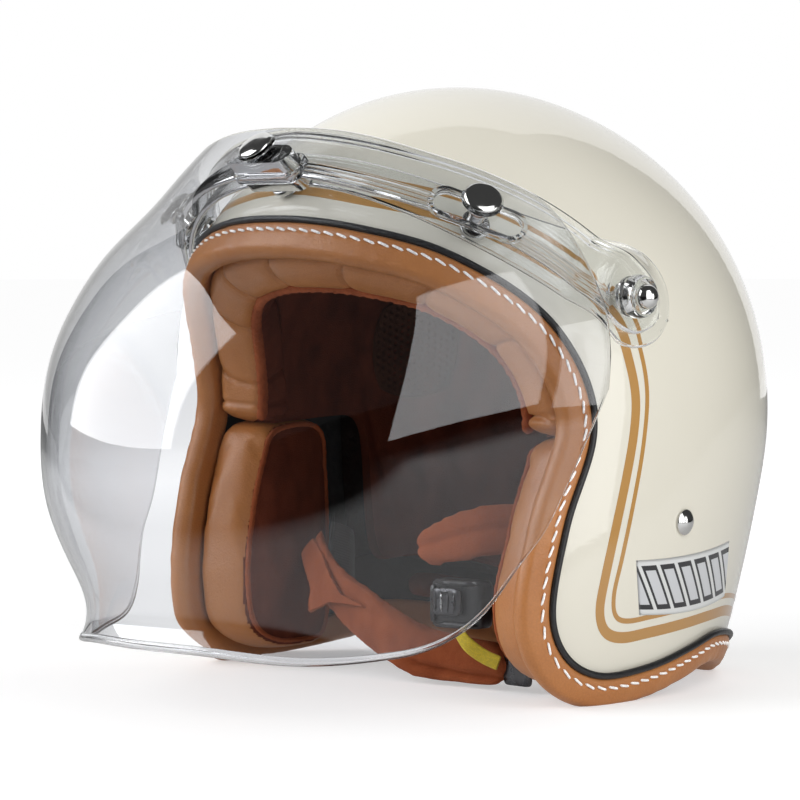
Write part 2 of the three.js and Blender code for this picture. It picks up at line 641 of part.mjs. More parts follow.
for (const { name, foot, out, seat, axis, reach } of snaps) {
  const onFoot = (profile, sides) => turned(profile, foot, out, sides);
  const onSeat = (profile, sides) => turned(profile, seat, axis, sides);
  const under = reach - shield.wall;            // inner face of the shield
  // The stud's stem runs through the shell and its button stands in the base strip's socket.
  add(`shell_stud_${name}`, onFoot([[0, -6.4], [5, -6.4], [5, -5.4], [1.8, -5.4], [1.8, 0.5], [4, 0.5], [4, 1.3],
    [1.9, 1.6], [2.2, 3.4], [0, 3.9]], 14), chrome);
  add(`base_socket_${name}`, onFoot(ring(2.7, 5.8, 1.8, band.baseInner - gap - 0.2), 16), chrome);
  // The slider stud stands in the band's slot and holds the shield's socket.
  add(`band_stud_${name}`, onSeat([[0, -3.7], [5.2, -3.7], [5.2, -2.9], [3.2, -2.9], [3.2, under - 4],
    [2, under - 3.6], [2.3, under - 1.6], [0, under - 1]], 14), chrome);
  add(`shield_socket_${name}`, onSeat(ring(2.7, 5.4, under - 2.7, under - 0.9), 16), chrome);
  add(`snap_washer_${name}`, onSeat(ring(2.5, 8.4, reach + 0.6, reach + 1.2), 18), clear);
  const cap = reach + 1.6;
  add(`snap_cap_${name}`, onSeat([[0, under - 0.4], [2, under - 0.4], [2, cap], [6.9, cap], [7.5, cap + 0.5],
    [7.3, cap + 1.3], [5.6, cap + 2], [0, cap + 2.5]], 22), chrome);
}

// ---- chin straps ----

addPair('strap_rivet', turned([[0, -9.6], [4.4, -9.6], [4.4, -8.6], [2.5, -8.6], [2.5, 0.5], [5.2, 0.5], [5, 1.6],
  [3.6, 2.7], [0, 3.3]], strapRivet.foot, strapRivet.out, 20), chrome);
addPair('strap_anchor', turned(ring(2.9, 8, -6, -4.8), strapRivet.foot, strapRivet.out, 20), chrome);

// Flat strap or pad along a curve: each station is [x, y, z, width, thickness, upright], where its width
// runs level at upright 0 and stands on edge at upright 1.
function ribbon(stations, steps, sides = 8, power = 5) {
  const path = new THREE.CatmullRomCurve3(stations.map(([x, y, z]) => V(x, y, z)));
  const skin = new Skin();
  const rings = Array.from({ length: steps + 1 }, (_, i) => {
    const t = i / steps;
    const spot = t * (stations.length - 1);
    const k = Math.min(Math.floor(spot), stations.length - 2);
    const size = (column) => mix(stations[k][column], stations[k + 1][column], spot - k);
    const middle = path.getPoint(t);
    const along = path.getTangent(t);
    const upright = size(5);
    const hint = V(0, 1 - upright, upright);
    const broad = hint.addScaledVector(along, -along.dot(hint)).normalize();
    const thin = along.clone().cross(broad);
    const section = ellipseSection(-size(3) / 2, size(3) / 2, -size(4) / 2, size(4) / 2, sides, power);
    return section.map(([w, t2]) => {
      const p = middle.clone().addScaledVector(broad, w).addScaledVector(thin, t2);
      p.z = Math.max(p.z, ground + 0.2);
      return p;
    });
  });
  for (let i = 0; i < steps; i++) {
    rings[i].forEach((p, j) => {
      const k = (j + 1) % sides;
      skin.quad(p, rings[i][k], rings[i + 1][k], rings[i + 1][j]);
    });
  }
  const middleOf = (loop) => loop.reduce((sum, p) => sum.add(p), V(0, 0, 0)).divideScalar(loop.length);
  skin.fan(middleOf(rings[0]), [...rings[0]].reverse());
  skin.fan(middleOf(rings[steps]), rings[steps]);
  return skin.geometry();
}

const web = [strapWidth, strapThick];
add('chin_strap_left', ribbon([
  [106.6, 16, -50, ...web, 0], [104.6, 16.5, -62, ...web, 0], [95, 18, -74, ...web, 0.5], [82, 15, -77.5, ...web, 1],
  [70, 3, -78, ...web, 1], [60, -17, -78.5, ...web, 1], [56, -28, -78, ...web, 1]
], 20), webbing);
add('strap_pad_left', ribbon([
  [70, -14, -45, 20, 5, 1], [58, -25, -44, 22, 7, 1], [42, -33, -47, 20, 7, 1], [27, -37, -51.5, 17, 6, 1],
  [15, -38, -55, 9, 4, 1]
], 14, 10, 3), suede);
add('chin_strap_right', ribbon([
  [-106.6, 16, -50, ...web, 0], [-104.6, 16.5, -60, ...web, 0], [-95, 18, -68, ...web, 0.5],
  [-82, 15, -68, ...web, 1], [-71, 3, -64, ...web, 1], [-66, -12, -60, ...web, 1]
], 18), webbing);
add('strap_pad_right', ribbon([
  [-64.5, -17, -58, 18, 6, 1], [-55, -27, -62, 18, 7, 1], [-42, -33, -72, 20, 8, 1], [-18, -35, -84, 24, 9, 1],
  [8, -32, -96, 25, 11, 1], [34, -27, -99.6, 21, 11, 1], [52, -26, -100.2, 19, 8, 1]
], 22, 10, 3), suede);

const tongue = new THREE.BoxGeometry(16, 1.6, 15).translate(62, -26, -100.4);
tongue.deleteAttribute('normal');
tongue.deleteAttribute('uv');
add('buckle_tongue', mergeVertices(tongue), chrome);

// Box with rounded long edges, turned to lie along the strap.
function block(length, height, depth, radius, middle, turn) {
  const outline = new THREE.Shape();
  const x = length / 2 - radius;
  const y = height / 2 - radius;
  outline.absarc(x, y, radius, 0, Math.PI / 2, false);
  outline.absarc(-x, y, radius, Math.PI / 2, Math.PI, false);
  outline.absarc(-x, -y, radius, Math.PI, 1.5 * Math.PI, false);
  outline.absarc(x, -y, radius, 1.5 * Math.PI, 2 * Math.PI, false);
  const bar = new THREE.ExtrudeGeometry(outline, { depth, bevelEnabled: false, curveSegments: 4 });
  bar.translate(0, 0, -depth / 2).rotateX(Math.PI / 2).rotateZ(turn);
  return solid(bar.translate(...middle));
}

const buckleMiddle = [41, -37, -75];
const buckleTurn = THREE.MathUtils.degToRad(8);
add('buckle_body', fromSolid(block(26, 20, 9, 3, buckleMiddle, buckleTurn)), buckleBlack);
add('buckle_lever', fromSolid(block(15, 11, 2.2, 1, [38.5, -43.6, -74], buckleTurn)), chrome);
add('release_tab', ribbon([
  [45, -43.8, -87.5, 5, 1.2, 1], [49, -41.5, -92, 6, 1.2, 1], [55, -38.5, -96, 6, 1.2, 1], [61, -36, -98, 6, 1.2, 1]
], 8), yellow);

// Keeper: a plate with a slot that the left webbing runs through.
function keeper() {
  const from = V(70, 3, -78);
  const to = V(60, -17, -78.5);
  const middle = from.clone().lerp(to, 0.5);
  const turn = Math.atan2(to.y - from.y, to.x - from.x);
  const plate = block(7, 28, 6.4, 2, middle.toArray(), turn);
  const slit = block(30, strapWidth + 1, strapThick + 1.2, 1, middle.toArray(), turn);
  return fromSolid(plate.subtract(slit));
}
add('strap_keeper', keeper(), buckleBlack);

export default helmet;
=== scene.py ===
# Open face motorcycle helmet with a flip-up bubble shield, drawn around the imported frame.
# Shapes are worked out in millimetres about the centre of the shell: +X is the wearer's left, -Y the front.
import math

import bmesh
import bpy
import numpy as np
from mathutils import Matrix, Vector
from mathutils.bvhtree import BVHTree


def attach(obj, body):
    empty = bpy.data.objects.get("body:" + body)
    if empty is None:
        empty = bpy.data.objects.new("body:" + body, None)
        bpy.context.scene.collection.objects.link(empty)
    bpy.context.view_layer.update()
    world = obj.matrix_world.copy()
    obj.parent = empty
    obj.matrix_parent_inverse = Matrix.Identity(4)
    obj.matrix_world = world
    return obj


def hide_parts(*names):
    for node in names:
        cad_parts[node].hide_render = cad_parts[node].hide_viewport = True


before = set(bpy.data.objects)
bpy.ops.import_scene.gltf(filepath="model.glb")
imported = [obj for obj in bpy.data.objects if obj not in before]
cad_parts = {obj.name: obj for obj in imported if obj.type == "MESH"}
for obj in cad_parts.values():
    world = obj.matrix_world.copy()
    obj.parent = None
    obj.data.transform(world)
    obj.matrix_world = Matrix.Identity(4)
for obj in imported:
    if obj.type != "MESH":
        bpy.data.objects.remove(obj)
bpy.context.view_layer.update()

place = {"centreY": 25.7, "ground": -110.8}  # shell centre behind the helmet's middle, ground below it
sides = ((1, "left"), (-1, "right"))


# Row frame in metres = (point + shell centre) / 1000.
def toRow(points):
    return (np.asarray(points, float) + [0.0, place["centreY"], -place["ground"]]) * 0.001


def fromRow(points):
    return points * 1000 - [0, place["centreY"], -place["ground"]]


def show(piece):
    bpy.context.scene.collection.objects.link(piece)
    return piece


# ---- camera, light and floor

view = {
    "camera": (1026.2, -1007.7, 62.6), "target": (4.0, -36.7, 6.5), "lens": 153.6,
    "worldSeen": 1.0, "worldLight": 0.22, "worldMirrored": 0.05,
    "floorNear": 0.46, "floorFar": 0.86, "floorFade": (0.3, 1.3), "floorGlow": 0.14,
    "floorColour": (0.62, 0.62, 0.625), "floorReach": 30.0,
    # the shield mirrors the floor only behind the first line and to one side of the second, in metres
    "mirrorBehind": (-0.25, -0.20), "mirrorBeside": (0.54, 0.49),
}
softboxes = {
    # name: (azimuth, distance, width, lowest, highest, radiance), in millimetres from the helmet's middle
    "front_right_box": (-40, 1500, 1800, 230, 1980, 3.9),
    "left_side_box": (81, 620, 430, 20, 830, 2.4),
    "left_rear_card": (111, 620, 150, 10, 330, 2.0),
}
topBox = {"spot": (250, 900, 1900), "width": 1300, "height": 1000, "radiance": 1.7}
backdrop = {"azimuth": -133, "distance": 1900, "width": 2600, "low": 60, "high": 4200, "radiance": 0.85}


def node(tree, kind, inputs=None, **settings):
    made = tree.nodes.new(kind)
    for key, value in settings.items():
        setattr(made, key, value)
    for key, value in (inputs or {}).items():
        if isinstance(value, bpy.types.NodeSocket):
            tree.links.new(value, made.inputs[key])
        else:
            made.inputs[key].default_value = value
    return made


def maths(tree, operation, *values, **settings):
    return node(tree, "ShaderNodeMath", dict(enumerate(values)), operation=operation, **settings).outputs[0]


def mixColour(tree, factor, a, b, how="MIX"):
    inputs = {"Factor": factor, "A": a, "B": b}
    return node(tree, "ShaderNodeMix", inputs, data_type="RGBA", blend_type=how).outputs["Result"]


def mapRange(tree, value, fromLow, fromHigh, low=0.0, high=1.0):
    return node(tree, "ShaderNodeMapRange", {"Value": value, "From Min": fromLow, "From Max": fromHigh,
                                             "To Min": low, "To Max": high}).outputs[0]


def blank(name, colour, roughness, **sockets):
    made = bpy.data.materials.new(name)
    made.use_nodes = True
    shader = made.node_tree.nodes["Principled BSDF"]
    shader.inputs["Base Color"].default_value = (*colour, 1)
    shader.inputs["Roughness"].default_value = roughness
    for key, value in sockets.items():
        shader.inputs[key.replace("_", " ")].default_value = value
    return made, made.node_tree, shader


def objectSpot(tree):
    return node(tree, "ShaderNodeTexCoord").outputs["Object"]


def noiseOn(tree, scale, detail, **sockets):
    inputs = {"Vector": objectSpot(tree), "Scale": scale, "Detail": detail, **sockets}
    return node(tree, "ShaderNodeTexNoise", inputs).outputs[0]


# Unit vector at an azimuth from the front towards the wearer's left and an elevation above the horizon.
def towards(azimuth, elevation):
    a, e = math.radians(azimuth), math.radians(elevation)
    return Vector((math.sin(a) * math.cos(e), -math.cos(a) * math.cos(e), math.sin(e)))


def aim(thing, spot, target):
    thing.location = spot
    thing.rotation_mode = "QUATERNION"
    thing.rotation_quaternion = (target - spot).to_track_quat("-Z", "Y")
    show(thing)


# Softbox: watts = pi x radiance x area.
def addBox(name, spot, target, width, height, radiance):
    lamp = bpy.data.lights.new(name, "AREA")
    lamp.shape, lamp.size, lamp.size_y = "RECTANGLE", width * 0.001, height * 0.001
    lamp.energy = math.pi * radiance * lamp.size * lamp.size_y
    made = bpy.data.objects.new(name, lamp)
    aim(made, spot, target)
    return made


# 1 for what the eye sees, straight on or through clear plastic, and 0 for what lights or is mirrored.
def seenByEye(tree):
    ray = node(tree, "ShaderNodeLightPath").outputs
    through = maths(tree, "MAXIMUM", ray["Is Camera Ray"], ray["Is Transmission Ray"])
    bounced = maths(tree, "ADD", ray["Glossy Depth"], ray["Diffuse Depth"])
    seen = maths(tree, "SUBTRACT", through, bounced, use_clamp=True)
    return seen, maths(tree, "GREATER_THAN", ray["Glossy Depth"], 0.5)


def setStudio():
    scene = bpy.context.scene
    scene.view_settings.view_transform = "Standard"
    target = Vector(toRow(view["target"]))
    lens = bpy.data.cameras.new("camera")
    lens.lens, lens.sensor_width = view["lens"], 36
    lens.clip_start, lens.clip_end = 0.05, 60
    camera = bpy.data.objects.new("camera", lens)
    aim(camera, Vector(toRow(view["camera"])), target)
    scene.camera = camera
    for name, (azimuth, distance, width, low, high, radiance) in softboxes.items():
        middle = Vector((target.x, target.y, (low + high) * 0.0005))
        addBox(name, middle + towards(azimuth, 0) * (distance * 0.001), middle, width, high - low, radiance)
    top = addBox("top_box", Vector(topBox["spot"]) * 0.001, target, topBox["width"], topBox["height"],
                 topBox["radiance"])
    top.visible_glossy = False
    # Only mirrored, never a light: the white wall behind the helmet.
    middle = Vector((target.x, target.y, (backdrop["low"] + backdrop["high"]) * 0.0005))
    wall = addBox("backdrop", middle + towards(backdrop["azimuth"], 0) * (backdrop["distance"] * 0.001), middle,
                  backdrop["width"], backdrop["high"] - backdrop["low"], backdrop["radiance"])
    wall.visible_diffuse = wall.visible_camera = wall.visible_transmission = False
    world = bpy.data.worlds.new("studio")
    scene.world = world
    world.use_nodes = True
    tree = world.node_tree
    seen, mirrored = seenByEye(tree)
    lit = node(tree, "ShaderNodeMix", {"Factor": mirrored, "A": view["worldLight"], "B": view["worldMirrored"]})
    strength = node(tree, "ShaderNodeMix", {"Factor": seen, "A": lit.outputs[0], "B": view["worldSeen"]})
    background = tree.nodes["Background"]
    background.inputs["Color"].default_value = (1, 1, 1, 1)
    tree.links.new(strength.outputs[0], background.inputs["Strength"])


def makeFloor():
    mesh = bpy.data.meshes.new("floor")
    reach = view["floorReach"]
    mesh.from_pydata([(-reach, -reach, 0), (reach, -reach, 0), (reach, reach, 0), (-reach, reach, 0)], [],
                     [(0, 1, 2, 3)])
    made, tree, shader = blank("floor_pale", view["floorColour"], 0.6, Specular_IOR_Level=0.2)
    shader.inputs["Emission Color"].default_value = (1, 1, 1, 1)
    seen, mirrored = seenByEye(tree)
    spot = objectSpot(tree)
    axes = node(tree, "ShaderNodeSeparateXYZ", {0: spot}).outputs
    board = maths(tree, "MULTIPLY", mapRange(tree, axes[1], *view["mirrorBehind"]),
                  mapRange(tree, axes[0], *view["mirrorBeside"]))
    kept = node(tree, "ShaderNodeMix", {"Factor": mirrored, "A": 1.0, "B": board}).outputs[0]
    far = node(tree, "ShaderNodeVectorMath", {0: spot}, operation="LENGTH").outputs["Value"]
    spread = mapRange(tree, far, *view["floorFade"], view["floorNear"], view["floorFar"])
    light = node(tree, "ShaderNodeMix", {"Factor": seen, "A": view["floorGlow"], "B": spread}).outputs[0]
    tree.links.new(mixColour(tree, kept, (0, 0, 0, 1), (*view["floorColour"], 1)), shader.inputs["Base Color"])
    tree.links.new(maths(tree, "MULTIPLY", light, kept), shader.inputs["Emission Strength"])
    mesh.materials.append(made)
    show(bpy.data.objects.new("floor", mesh))


setStudio()
makeFloor()
print("studio set")


# ---- finishes

# Colour between a and b by noise of `scale` per metre, on Object coordinates.
def mottle(tree, a, b, scale, detail=4, stretch=(1, 1, 1), low=0.35, high=0.65):
    turned = node(tree, "ShaderNodeMapping", {"Vector": objectSpot(tree), "Scale": stretch}).outputs[0]
    ranged = mapRange(tree, noiseOn(tree, scale, detail, Vector=turned), low, high)
    return mixColour(tree, ranged, (*a, 1), (*b, 1)), ranged


def bump(tree, height, distance, strength=1.0, under=None):
    inputs = {"Height": height, "Distance": distance, "Strength": strength}
    if under is not None:
        inputs["Normal"] = under
    return node(tree, "ShaderNodeBump", inputs).outputs[0]


def scaleRange(tree, value, low, high):
    return node(tree, "ShaderNodeMapRange", {"Value": value, "To Min": low, "To Max": high}).outputs[0]


def paintFinish(name, light, dark, coatRoughness=0.02):
    made, tree, shader = blank(name, light, 0.32, Coat_Weight=1.0, Coat_Roughness=coatRoughness, Coat_IOR=1.5)
    tree.links.new(mottle(tree, light, dark, 9, 2)[0], shader.inputs["Base Color"])
    wave = bump(tree, noiseOn(tree, 420, 1), 0.00004, 0.35)
    tree.links.new(wave, shader.inputs["Normal"])
    tree.links.new(wave, shader.inputs["Coat Normal"])
    return made


# Leather: mottled tan, pebble grain from a cell pattern, soft creases from a stretched noise.
def leatherFinish(name, light, dark, grain=1150, crease=0.00035):
    made, tree, shader = blank(name, light, 0.42, Coat_Weight=0.16, Coat_Roughness=0.3)
    colour, spread = mottle(tree, light, dark, 38, 5, low=0.3, high=0.72)
    cells = node(tree, "ShaderNodeTexVoronoi", {"Vector": objectSpot(tree), "Scale": grain, "Smoothness": 0.6},
                 feature="SMOOTH_F1").outputs["Distance"]
    shade = mixColour(tree, 1.0, colour, scaleRange(tree, cells, 1.0, 0.86), "MULTIPLY")
    tree.links.new(shade, shader.inputs["Base Color"])
    fold = noiseOn(tree, 95, 4, Distortion=0.8)
    first = bump(tree, cells, 0.00022, 0.5)
    tree.links.new(bump(tree, fold, crease, 0.5, first), shader.inputs["Normal"])
    tree.links.new(scaleRange(tree, spread, 0.36, 0.5), shader.inputs["Roughness"])
    return made


# Suede: two browns by brushed noise, a fine nap that lifts the normal, and sheen.
def suedeFinish(name, light, dark, sheen=0.35, nap=1900):
    made, tree, shader = blank(name, light, 0.95, Sheen_Weight=sheen, Sheen_Roughness=0.4,
                               Specular_IOR_Level=0.15)
    shader.inputs["Sheen Tint"].default_value = (*[min(1, c * 2.6 + 0.05) for c in light], 1)
    colour, spread = mottle(tree, light, dark, 70, 6, (1, 1, 0.6), 0.34, 0.66)
    fibres = noiseOn(tree, nap, 3, Roughness=0.7)
    speckled = mixColour(tree, 1.0, colour, scaleRange(tree, fibres, 0.55, 1.45), "MULTIPLY")
    tree.links.new(speckled, shader.inputs["Base Color"])
    first = bump(tree, fibres, 0.0007, 0.8)
    tree.links.new(bump(tree, spread, 0.0006, 0.4, first), shader.inputs["Normal"])
    return made


# Weave on the piece's own UV in millimetres: crossed ridges, each row shifted by half a thread.
def weaveFinish(name, light, dark, pitch):
    made, tree, shader = blank(name, light, 0.8, Sheen_Weight=0.2)
    brick = node(tree, "ShaderNodeTexBrick", {
        "Vector": node(tree, "ShaderNodeUVMap").outputs[0], "Scale": 1.0, "Brick Width": pitch * 2,
        "Row Height": pitch, "Mortar Size": pitch * 0.18, "Mortar Smooth": 1.0,
        "Color1": (*light, 1), "Color2": (*[c * 0.8 for c in light], 1), "Mortar": (*dark, 1)})
    tree.links.new(brick.outputs["Color"], shader.inputs["Base Color"])
    tree.links.new(bump(tree, brick.outputs["Fac"], -0.0003, 0.9), shader.inputs["Normal"])
    return made


def metalFinish(name, colour, roughness):
    made, tree, shader = blank(name, colour, roughness, Metallic=1.0)
    tint, spread = mottle(tree, colour, [c * 0.93 for c in colour], 260, 5)
    tree.links.new(tint, shader.inputs["Base Color"])
    tree.links.new(scaleRange(tree, spread, roughness * 0.7, roughness * 1.5), shader.inputs["Roughness"])
    return made


def mouldedFinish(name, colour, roughness, grain=700, depth=0.00005):
    made, tree, shader = blank(name, colour, roughness)
    tint, spread = mottle(tree, colour, [c * 1.5 + 0.003 for c in colour], grain, 2)
    tree.links.new(tint, shader.inputs["Base Color"])
    tree.links.new(bump(tree, spread, depth, 0.6), shader.inputs["Normal"])
    tree.links.new(scaleRange(tree, spread, roughness * 0.85, roughness * 1.2), shader.inputs["Roughness"])
    return made


# Clear plastic: bends light for the eye, and lets lamps and soft light straight through.
def clearFinish(name, tint, smear=0.0):
    made, tree, shader = blank(name, tint, 0.0, Transmission_Weight=1.0, IOR=1.49)
    tree.links.new(scaleRange(tree, noiseOn(tree, 30, 6), 0.0, smear), shader.inputs["Roughness"])
    tree.links.new(bump(tree, noiseOn(tree, 60, 1), 0.00003, 0.5), shader.inputs["Normal"])
    ray = node(tree, "ShaderNodeLightPath").outputs
    soft = maths(tree, "MAXIMUM", ray["Is Shadow Ray"], ray["Is Diffuse Ray"])
    through = node(tree, "ShaderNodeBsdfTransparent", {"Color": (*[c ** 0.5 for c in tint], 1)})
    mixed = node(tree, "ShaderNodeMixShader", {0: soft, 1: shader.outputs[0], 2: through.outputs[0]})
    tree.links.new(mixed.outputs[0], tree.nodes["Material Output"].inputs[0])
    return made


# Plain bars that read as nothing, each an outline round a fill: u along the patch, v up it, slanted by v.
bars = {"count": 6.0, "slant": 0.16, "outline": (0.40, 0.40), "fill": (0.27, 0.31)}


def decalFinish(name):
    made, tree, shader = blank(name, (0.7, 0.7, 0.7), 0.3, Coat_Weight=0.6, Coat_Roughness=0.05)
    spot = node(tree, "ShaderNodeSeparateXYZ", {0: node(tree, "ShaderNodeUVMap").outputs[0]}).outputs
    slant = maths(tree, "MULTIPLY_ADD", spot[1], bars["slant"], spot[0])
    cell = maths(tree, "FRACT", maths(tree, "MULTIPLY", slant, bars["count"]))
    side, height = (maths(tree, "ABSOLUTE", maths(tree, "SUBTRACT", value, 0.5)) for value in (cell, spot[1]))
    inOutline, inFill = (maths(tree, "MULTIPLY", maths(tree, "LESS_THAN", side, wide),
                               maths(tree, "LESS_THAN", height, tall))
                         for wide, tall in (bars["outline"], bars["fill"]))
    dark = mixColour(tree, inOutline, (0.72, 0.73, 0.72, 1), (0.015, 0.015, 0.018, 1))
    tree.links.new(mixColour(tree, inFill, dark, (0.62, 0.63, 0.65, 1)), shader.inputs["Base Color"])
    return made


cream = paintFinish("cream_lacquer", (0.80, 0.765, 0.655), (0.785, 0.75, 0.64))
gold = paintFinish("gold_tan_stripe", (0.50, 0.262, 0.068), (0.47, 0.24, 0.06), 0.04)
shellInside = mouldedFinish("shell_inside", (0.035, 0.034, 0.033), 0.6, 300, 0.0002)
leather = leatherFinish("tan_leather", (0.54, 0.215, 0.062), (0.46, 0.17, 0.044))
rustSuede = suedeFinish("rust_suede", (0.40, 0.108, 0.040), (0.26, 0.062, 0.022))
darkSuede = suedeFinish("dark_suede", (0.185, 0.046, 0.022), (0.10, 0.024, 0.012), 0.25)
netCloth = suedeFinish("spacer_net", (0.13, 0.052, 0.028), (0.08, 0.03, 0.018), 0.1, 2600)
rubber = mouldedFinish("black_piping", (0.012, 0.012, 0.013), 0.38, 900)
foamBlack = mouldedFinish("bead_foam", (0.024, 0.0095, 0.0065), 0.95, 260, 0.0006)
thread = mouldedFinish("white_thread", (0.90, 0.885, 0.86), 0.6, 900, 0.00008)
webbingCloth = weaveFinish("black_webbing", (0.022, 0.022, 0.023), (0.004, 0.004, 0.004), 1.1)
tapeCloth = weaveFinish("yellow_tape", (0.82, 0.62, 0.02), (0.45, 0.32, 0.01), 0.5)
bucklePlastic = mouldedFinish("buckle_plastic", (0.014, 0.014, 0.015), 0.33)
chrome = metalFinish("chrome_plate", (0.80, 0.80, 0.79), 0.10)
steel = metalFinish("brushed_steel", (0.52, 0.52, 0.52), 0.24)
gunmetal = metalFinish("dark_steel", (0.10, 0.10, 0.105), 0.3)
clearBand = clearFinish("clear_band", (0.965, 0.975, 0.98))
clearShield = clearFinish("tinted_shield", (0.80, 0.81, 0.83))
clearLip = clearFinish("moulded_lip", (0.96, 0.965, 0.97), 0.25)
decalFilm = decalFinish("bar_decal")
print("finishes made")


# ---- mesh tools

def unit(v):
    return v / np.maximum(np.linalg.norm(v, axis=-1, keepdims=True), 1e-12)


# Quads between the neighbours of a rows x cols grid of points.
def gridFaces(rows, cols):
    i, j = np.meshgrid(np.arange(rows - 1), np.arange(cols - 1), indexing="ij")
    first = (i * cols + j).ravel()
    return np.stack([first, first + cols, first + cols + 1, first + 1], -1)


# Six times the signed volume is the sum of a . (b x c) over the faces' triangles.
def signedVolume(points, faces):
    a, b, c, d = (points[faces[:, k]] for k in range(4))
    return (np.einsum("ij,ij->", a, np.cross(b, c)) + np.einsum("ij,ij->", a, np.cross(c, d))) / 6


# One closed piece from points in millimetres and quads. Poles and seams that coincide are welded.
def makePiece(name, points, faces, materials, uv=None, choice=None, sharp=None):
    points = toRow(np.asarray(points, float).reshape(-1, 3))
    if signedVolume(points - points.mean(0), faces) < 0:
        faces = faces[:, ::-1]
    mesh = bpy.data.meshes.new(name)
    mesh.vertices.add(len(points))
    mesh.vertices.foreach_set("co", points.astype(np.float32).ravel())
    mesh.loops.add(faces.size)
    mesh.loops.foreach_set("vertex_index", faces.astype(np.int32).ravel())
    mesh.polygons.add(len(faces))
    mesh.polygons.foreach_set("loop_start", np.arange(0, faces.size, 4, dtype=np.int32))
    for material in materials:
        mesh.materials.append(material)
    if choice is not None:
        mesh.polygons.foreach_set("material_index", np.asarray(choice, np.int32).ravel())
    if uv is not None:
        layer = mesh.uv_layers.new(name="UVMap")
        layer.data.foreach_set("uv", np.asarray(uv, np.float32).reshape(-1, 2)[faces.ravel()].ravel())
    mesh.update(calc_edges=True)
    body = bmesh.new()
    body.from_mesh(mesh)
    bmesh.ops.remove_doubles(body, verts=body.verts, dist=1e-6)
    bmesh.ops.dissolve_degenerate(body, edges=body.edges, dist=1e-8)
    body.to_mesh(mesh)
    body.free()
    mesh.polygons.foreach_set("use_smooth", np.ones(len(mesh.polygons), bool))
    if sharp:
        mesh.set_sharp_from_angle(angle=math.radians(sharp))
    return show(bpy.data.objects.new(name, mesh))


def install(piece, body, slot, *nodes):
    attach(piece, body)
    if nodes:
        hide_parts(*nodes)
    return piece


# The grid's own arc lengths in millimetres along rows and columns, as a UV map.
def lengthUv(grid):
    alongRows = np.linalg.norm(np.diff(grid, axis=0), axis=-1).mean(1)
    alongCols = np.linalg.norm(np.diff(grid, axis=1), axis=-1).mean(0)
    u = np.concatenate([[0], np.cumsum(alongRows)])
    v = np.concatenate([[0], np.cumsum(alongCols)])
    return np.stack(np.meshgrid(u, v, indexing="ij"), -1)


def gridPiece(name, grid, materials, choice=None, sharp=None, uv=None):
    rows, cols = grid.shape[:2]
    uv = lengthUv(grid) if uv is None else uv
    return makePiece(name, grid, gridFaces(rows, cols), materials, uv, choice, sharp)


def closedRows(grid):
    return np.concatenate([grid, grid[:1]])


def closedCols(grid):
    return np.concatenate([grid, grid[:, :1]], 1)


# Rows shrunk to one point before the first and after the last row close a tube's ends.
def capped(grid):
    ends = [np.broadcast_to(row.mean(0), row.shape)[None] for row in (grid[0], grid[-1])]
    return np.concatenate([ends[0], grid, ends[1]])


# Sheet with two faces at `half` off its middle along the normals, and a half-round rim all the way round.
def thickSheet(middle, normals, half, turns=5):
    rows, cols = middle.shape[:2]
    top, under = middle + normals * half, middle - normals * half
    r, c = np.arange(rows), np.arange(cols)
    rim = np.concatenate([np.stack([r[:-1], 0 * r[:-1]], 1), np.stack([0 * c[:-1] + rows - 1, c[:-1]], 1),
                          np.stack([r[:0:-1], 0 * r[1:] + cols - 1], 1), np.stack([0 * c[1:], c[:0:-1]], 1)])
    within = np.clip(rim, 1, [rows - 2, cols - 2])
    edge, flat = middle[tuple(rim.T)], normals[tuple(rim.T)]
    away = edge - middle[tuple(within.T)]
    away = unit(away - flat * (away * flat).sum(-1, keepdims=True))
    angles = np.linspace(0, np.pi, turns + 2)
    ring = np.stack([edge + (flat * np.cos(a) + away * np.sin(a)) * half for a in angles])
    ring = np.concatenate([ring, ring[:, :1]], 1)
    points = np.concatenate([g.reshape(-1, 3) for g in (top, under, ring)])
    faces = np.concatenate([gridFaces(rows, cols)[:, ::-1], gridFaces(rows, cols) + rows * cols,
                            gridFaces(turns + 2, len(rim) + 1) + 2 * rows * cols])
    return points, faces


# ---- curves

def arcLengths(points):
    return np.concatenate([[0], np.cumsum(np.linalg.norm(np.diff(points, axis=0), axis=1))])


# Centripetal Catmull-Rom curve through the knots, its points spread evenly along it.
def smoothCurve(knots, count, closed=False, fine=60):
    k = np.asarray(knots, float)
    if closed:
        a, b, c, d = np.roll(k, 1, 0), k, np.roll(k, -1, 0), np.roll(k, -2, 0)
    else:
        padded = np.vstack([2 * k[0] - k[1], k, 2 * k[-1] - k[-2]])
        a, b, c, d = padded[:-3], padded[1:-2], padded[2:-1], padded[3:]
    span = [np.maximum(np.linalg.norm(q - p, axis=1, keepdims=True), 1e-9) ** 0.5
            for p, q in ((a, b), (b, c), (c, d))]
    leave = ((b - a) / span[0] - (c - a) / (span[0] + span[1]) + (c - b) / span[1]) * span[1]
    reach = ((c - b) / span[1] - (d - b) / (span[1] + span[2]) + (d - c) / span[2]) * span[1]
    t = np.linspace(0, 1, fine, endpoint=False)[None, :, None]
    points = (b[:, None] * (2 * t ** 3 - 3 * t ** 2 + 1) + leave[:, None] * (t ** 3 - 2 * t ** 2 + t)
              + c[:, None] * (3 * t ** 2 - 2 * t ** 3) + reach[:, None] * (t ** 3 - t ** 2))
    points = points.reshape(-1, k.shape[1])
    points = np.vstack([points, k[:1] if closed else k[-1:]])
    run = arcLengths(points)
    at = np.linspace(0, run[-1], count, endpoint=not closed)
    return np.stack([np.interp(at, run, points[:, i]) for i in range(k.shape[1])], 1)


